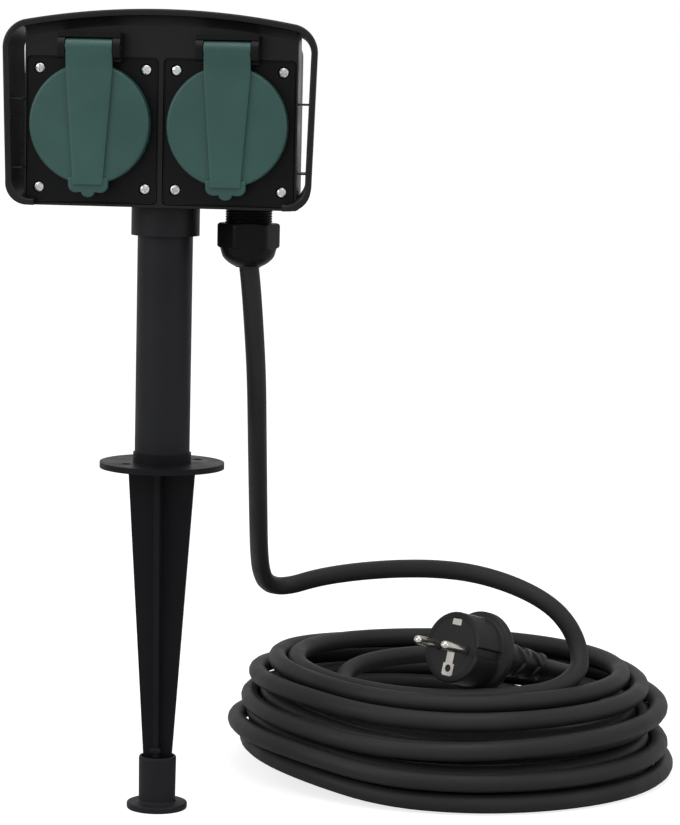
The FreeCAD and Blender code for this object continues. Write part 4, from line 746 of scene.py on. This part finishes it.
# The plate screws: half their pitch across and up, their middle's drop below the lid's and their seat
SCREW_ACROSS, SCREW_UP, SCREW_DROP, SCREW_SEAT = 26.64, 29.51, 2.54, -20.3
SCREW_STEPS, DOME_RINGS, DOME_REACH, DOME_SPREAD, DOME_FOOT, DOME_RISE = 72, 22, 2.7, 2.85, 0.35, 1.35
SHANK_RADII, SHANK_HEIGHTS = [2.72, 2.6, 1.5, 1.5, 0.4], (0.2, 0.0, 0.0, -4.2, -4.9)
CROSS_DEPTH, CROSS_EDGE, CROSS_END = 0.95, (0.24, 0.42), (1.5, 1.9)


class GARDEN_OT_screws(bpy.types.Operator):
    """Sets the eight crossed screws of the two socket plates"""
    bl_idname = "garden.screws"
    bl_label = "Plate screws"

    def execute(self, context):
        for side, middle in SIDES.items():
            spots = [(middle + SCREW_ACROSS * right, SCREW_SEAT, LID_Z - SCREW_DROP + SCREW_UP * top)
                     for right in (-1, 1) for top in (-1, 1)]
            shells = [self.screw(spot, number) for number, spot in enumerate(spots)]
            piece = finish_piece("plate_screws_" + side, shells, "stand", skin("zinc"), 40)
            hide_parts("flange_screws_" + side)
        return {"FINISHED"}

    def screw(self, spot, number):
        """A domed head: height 1.35 times the root of one less the square of the radius share, with
        a cross sunk where the lesser of |x| and |z| is small, turned a little more on each screw,
        and a shank below."""
        radius = np.concatenate([np.linspace(0.02, DOME_REACH, DOME_RINGS), SHANK_RADII])
        flat = np.linspace(0, 2 * np.pi, SCREW_STEPS, endpoint=False)
        angle = flat + 0.5 + number * 1.1
        x, z = radius[:, None] * np.cos(flat), radius[:, None] * np.sin(flat)
        own_x, own_z = radius[:, None] * np.cos(angle), radius[:, None] * np.sin(angle)
        height = DOME_FOOT + DOME_RISE * np.sqrt(np.clip(1 - (radius / DOME_SPREAD) ** 2, 0, 1))
        height[DOME_RINGS:] = SHANK_HEIGHTS
        narrow = np.minimum(np.abs(own_x), np.abs(own_z))
        cross = (1 - smooth_step(narrow, *CROSS_EDGE)) * (1 - smooth_step(radius, *CROSS_END))[:, None]
        level = height[:, None] - CROSS_DEPTH * cross
        rings = np.stack([x + spot[0], spot[1] - level, z + spot[2]], axis=2) * MM
        return ring_mesh(rings)


# The gland: profiles as (radius, height) of the threaded body's inside, the nut's limit and its inside
THREAD_FOOT, THREAD_TOP, THREAD_RADIUS, THREAD_PITCH, THREAD_DEPTH = 292.7, 310.7, 11.9, 1.25, 0.24
BODY_INSIDE = np.array([(11.9, 310.9), (11.9, 318.2), (6.0, 318.2), (6.0, 292.6), (11.4, 292.6)])
NUT_HALF_FLATS, NUT_TURN, FLATS_FROM, NO_FLAT, SHARPNESS = 14.0, math.radians(10), 288.5, 30.0, 4
NUT_LIMIT = np.array([(14.6, 302.7), (15.3, 302.4), (15.8, 301.6), (15.8, 291.4), (15.3, 290.6),
                      (14.3, 290.2), (13.9, 289.0), (13.5, 287.4), (13.0, 286.0), (12.2, 284.8),
                      (11.1, 283.7), (10.0, 282.8), (8.8, 282.0), (7.7, 281.4), (6.9, 281.0)])
NUT_INSIDE = np.array([(6.45, 280.9), (6.45, 286), (7.45, 286), (7.45, 292), (11.95, 292), (11.95, 302.6)])


class GARDEN_OT_gland(bpy.types.Operator):
    """Shapes the cable gland: the threaded body and the rounded hexagon nut with its dome"""
    bl_idname = "garden.gland"
    bl_label = "Cable gland"

    def execute(self, context):
        self.body()
        self.nut()
        return {"FINISHED"}

    def body(self):
        """A thread: the radius falls and rises by about half a millimetre along a helix."""
        height = np.linspace(THREAD_FOOT, THREAD_TOP, 150)[:, None]
        angle = np.linspace(0, 2 * np.pi, 72, endpoint=False)
        radius = THREAD_RADIUS - THREAD_DEPTH * (1 - np.cos(2 * np.pi * height / THREAD_PITCH - angle))
        rings = self.rings(radius, height, BODY_INSIDE, angle)
        piece = surface("gland_thread", rings, "stand", skin("nylon"), wrap_rows=True)
        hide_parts("gland_body")

    def nut(self):
        """The lesser of a hexagon, whose radius is half the flats over the cosine of the angle from
        the nearest flat, and a turned limit that rounds its edges and closes into the dome. The
        two are blended by the logarithm of their summed exponentials."""
        angle = np.linspace(0, 2 * np.pi, 144, endpoint=False)
        from_flat = (angle - NUT_TURN) % (math.pi / 3) - math.pi / 6
        hexagon = NUT_HALF_FLATS / np.cos(from_flat)
        place = np.linspace(0, len(NUT_LIMIT) - 1, 57)
        limit = np.interp(place, np.arange(len(NUT_LIMIT)), NUT_LIMIT[:, 0])[:, None]
        level = np.interp(place, np.arange(len(NUT_LIMIT)), NUT_LIMIT[:, 1])[:, None]
        flat = np.where(level > FLATS_FROM, hexagon[None, :], NO_FLAT)
        radius = -np.log(np.exp(-SHARPNESS * flat) + np.exp(-SHARPNESS * limit)) / SHARPNESS + 0.05
        rings = self.rings(radius, level, NUT_INSIDE, angle)
        piece = surface("gland_dome_nut", rings, "stand", skin("nylon"), wrap_rows=True)
        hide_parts("gland_nut")

    def rings(self, radius, height, inside, angle):
        """Rings about the gland's axis, the outer ones first: the point at angle t is the radius
        times (cos t, sin t), at its height."""
        radius = np.vstack([radius, inside[:, :1] * np.ones(len(angle))])
        height = np.vstack([height, inside[:, 1:]])
        rings = np.stack([radius * np.cos(angle), radius * np.sin(angle),
                          np.broadcast_to(height, radius.shape)], axis=2)
        return (rings + np.array((GLAND[0], 0, 0))) * MM


# The plug, from its face: the outside as (distance, radius) and the inside as (radius, distance)
PLUG_OUTSIDE = [(0, 18.2), (0.3, 18.75), (0.9, 19.0), (18.4, 19.0), (19.2, 19.6), (19.8, 21.6), (20.6, 22.3),
                (24.0, 22.3), (25.4, 21.6), (26.4, 20.0), (27.2, 15.2), (28.2, 13.6), (30, 12.9),
                (36.6, 10.8), (38, 9.4), (38.6, 8.4), (74, 6.3), (76.0, 6.1)]
PLUG_INSIDE = ((4.95, 76.0), (4.95, 70.0), (0.5, 70.0), (0.5, 17.0), (15.56, 16.1), (15.56, 0.0))
PLUG_STEPS, RELIEF_PITCH = 288, 13.5
GUIDE_DEPTH, CLIP_DEPTH, RELIEF_RISE, NECK_SHARE = 1.85, 0.97, 1.25, 0.07
# Spans of the smooth steps that bound the plug's neck, relief and grooves
NECK_FROM, NECK_TO, RELIEF_FROM, RELIEF_TO = (27, 29), (35, 38), (38.3, 39.2), (73.5, 75.5)
CREST, GUIDE_EDGE, GROOVES_TO = (0.35, 0.75), (2.2, 2.7), (17.8, 18.4)
CLIP_EDGE, CLIP_FROM = (3.1, 3.4), (1.9, 2.3)
PIN_RADIUS, PIN_LENGTH, PIN_SIDE, PIN_INSIDE = 2.4, 19.0, 9.5, 14.0


class GARDEN_OT_plug(bpy.types.Operator):
    """Shapes the rubber plug with its guide grooves, collar, neck and cross-ribbed relief"""
    bl_idname = "garden.plug"
    bl_label = "Plug"

    def execute(self, context):
        self.body()
        self.pins()
        return {"FINISHED"}

    def body(self):
        """The radius over the distance from the face, sunk to the guide grooves at both sides and
        to the clip grooves above and below, and on the relief raised where either of two helices
        of two starts is near its crest."""
        angle = np.linspace(0, 2 * np.pi, PLUG_STEPS, endpoint=False)
        stations = np.concatenate([
            np.linspace(0, 1.2, 5), np.linspace(1.8, 19.4, 24), np.linspace(19.9, 30, 30),
            np.linspace(30.5, 38, 10), np.linspace(38.3, 75.4, 96), [75.7, 76.0]])
        radius = np.interp(stations, *zip(*PLUG_OUTSIDE))[:, None] * np.ones(PLUG_STEPS)
        neck = smooth_step(stations, *NECK_FROM) * (1 - smooth_step(stations, *NECK_TO))
        radius *= 1 + (NECK_SHARE * neck)[:, None] * np.cos(4 * angle + math.pi)
        twist = 2 * np.pi * stations[:, None] / RELIEF_PITCH
        crest = np.maximum(np.cos(2 * angle + twist), np.cos(2 * angle - twist))
        relief = smooth_step(stations, *RELIEF_FROM) * (1 - smooth_step(stations, *RELIEF_TO))
        radius += relief[:, None] * RELIEF_RISE * smooth_step(crest, *CREST)
        across, down = radius * np.cos(angle), radius * np.sin(angle)
        early = (1 - smooth_step(stations, *GROOVES_TO))[:, None]
        radius -= GUIDE_DEPTH * early * (1 - smooth_step(np.abs(down), *GUIDE_EDGE))
        clip = early * (1 - smooth_step(np.abs(across), *CLIP_EDGE))
        radius -= CLIP_DEPTH * clip * smooth_step(stations, *CLIP_FROM)[:, None]
        rings = [self.ring(radius, angle, stations[:, None] * np.ones(PLUG_STEPS))]
        for reach, depth in PLUG_INSIDE:
            rings.append(self.ring(np.full((1, PLUG_STEPS), reach), angle, np.full((1, PLUG_STEPS), depth)))
        piece = surface("plug_shape", np.vstack(rings), "stand", skin("plug_skin"), wrap_rows=True, smooth=45)
        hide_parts("plug_body")

    def ring(self, radius, angle, level):
        """Rows of points about the plug's axis."""
        return (PLUG_FACE + (radius * np.cos(angle))[..., None] * PLUG_ACROSS
                + (radius * np.sin(angle))[..., None] * PLUG_UP + level[..., None] * PLUG_AXIS) * MM

    def pins(self):
        """Two pins turned from a rounded tip to a shank inside the plug."""
        lean = np.linspace(0, math.pi / 2, 9)
        tip = [(PIN_RADIUS * math.sin(turn), -PIN_LENGTH + PIN_RADIUS * (1 - math.cos(turn)))
               for turn in lean]
        shank = PIN_RADIUS - 0.2
        profile = np.array(tip + [(PIN_RADIUS, -0.4), (shank, -0.4), (shank, PIN_INSIDE), (0.0, PIN_INSIDE)])
        shells = []
        for side in (-1, 1):
            place = PLUG_FACE + PLUG_ACROSS * PIN_SIDE * side
            rings = turned_rings(profile, 48, place, PLUG_ACROSS, PLUG_UP, PLUG_AXIS)
            shells.append(ring_mesh(rings, caps=False))
        piece = finish_piece("plug_pin_pair", shells, "stand", skin("nickel"), 40)
        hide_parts("plug_pins")


# The tip cap as (radius, height)
CAP_PROFILE = [(0, 0), (15.2, 0.0), (15.54, 0.7), (15.54, 3.0), (14.9, 3.3), (9.9, 3.5), (9.4, 4.4),
               (9.62, 26.5), (9.3, 27.5), (8.2, 27.5), (8.0, 5.0), (0, 5.0)]


class GARDEN_OT_tip(bpy.types.Operator):
    """Shapes the soft cap on the spike's tip"""
    bl_idname = "garden.tip"
    bl_label = "Tip cap"

    def execute(self, context):
        profile = rounded_profile(CAP_PROFILE, 0.6)
        shell = ring_mesh(turned_rings(profile, 96), caps=False)
        piece = finish_piece("tip_cap_shape", [shell], "tip_cap", skin("cap_skin"), 40)
        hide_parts("tip_cap")
        return {"FINISHED"}


class GARDEN_PT_panel(bpy.types.Panel):
    """Lists the steps that dress the garden socket"""
    bl_idname = "GARDEN_PT_panel"
    bl_label = "Garden socket spike"
    bl_space_type = "VIEW_3D"
    bl_region_type = "UI"
    bl_category = "Garden"

    def draw(self, context):
        for group in ("garden_stage", "garden_cord", "garden_colours"):
            box = self.layout.box()
            settings = getattr(context.scene, group)
            for name in settings.bl_rna.properties.keys():
                if name not in ("rna_type", "name"):
                    box.prop(settings, name)
        for step in STEPS:
            self.layout.operator(step.bl_idname)


STEPS = (GARDEN_OT_stage, GARDEN_OT_plug, GARDEN_OT_cord, GARDEN_OT_finishes, GARDEN_OT_housing,
         GARDEN_OT_lids, GARDEN_OT_screws, GARDEN_OT_gland, GARDEN_OT_tip)
GROUPS = {"garden_stage": StageSizes, "garden_cord": CordSizes, "garden_colours": FinishColours}


def register():
    for kind in (*GROUPS.values(), *STEPS, GARDEN_PT_panel):
        bpy.utils.register_class(kind)
    for name, kind in GROUPS.items():
        setattr(bpy.types.Scene, name, bpy.props.PointerProperty(type=kind))


def unregister():
    for name in GROUPS:
        delattr(bpy.types.Scene, name)
    for kind in (GARDEN_PT_panel, *reversed(STEPS), *GROUPS.values()):
        bpy.utils.unregister_class(kind)


def main():
    """Registers the add-on and runs its steps in order."""
    register()
    for step in STEPS:
        family, name = step.bl_idname.split(".")
        if getattr(getattr(bpy.ops, family), name)() != {"FINISHED"}:
            raise RuntimeError(step.bl_label + " was not finished")


if __name__ == "__main__":
    main()
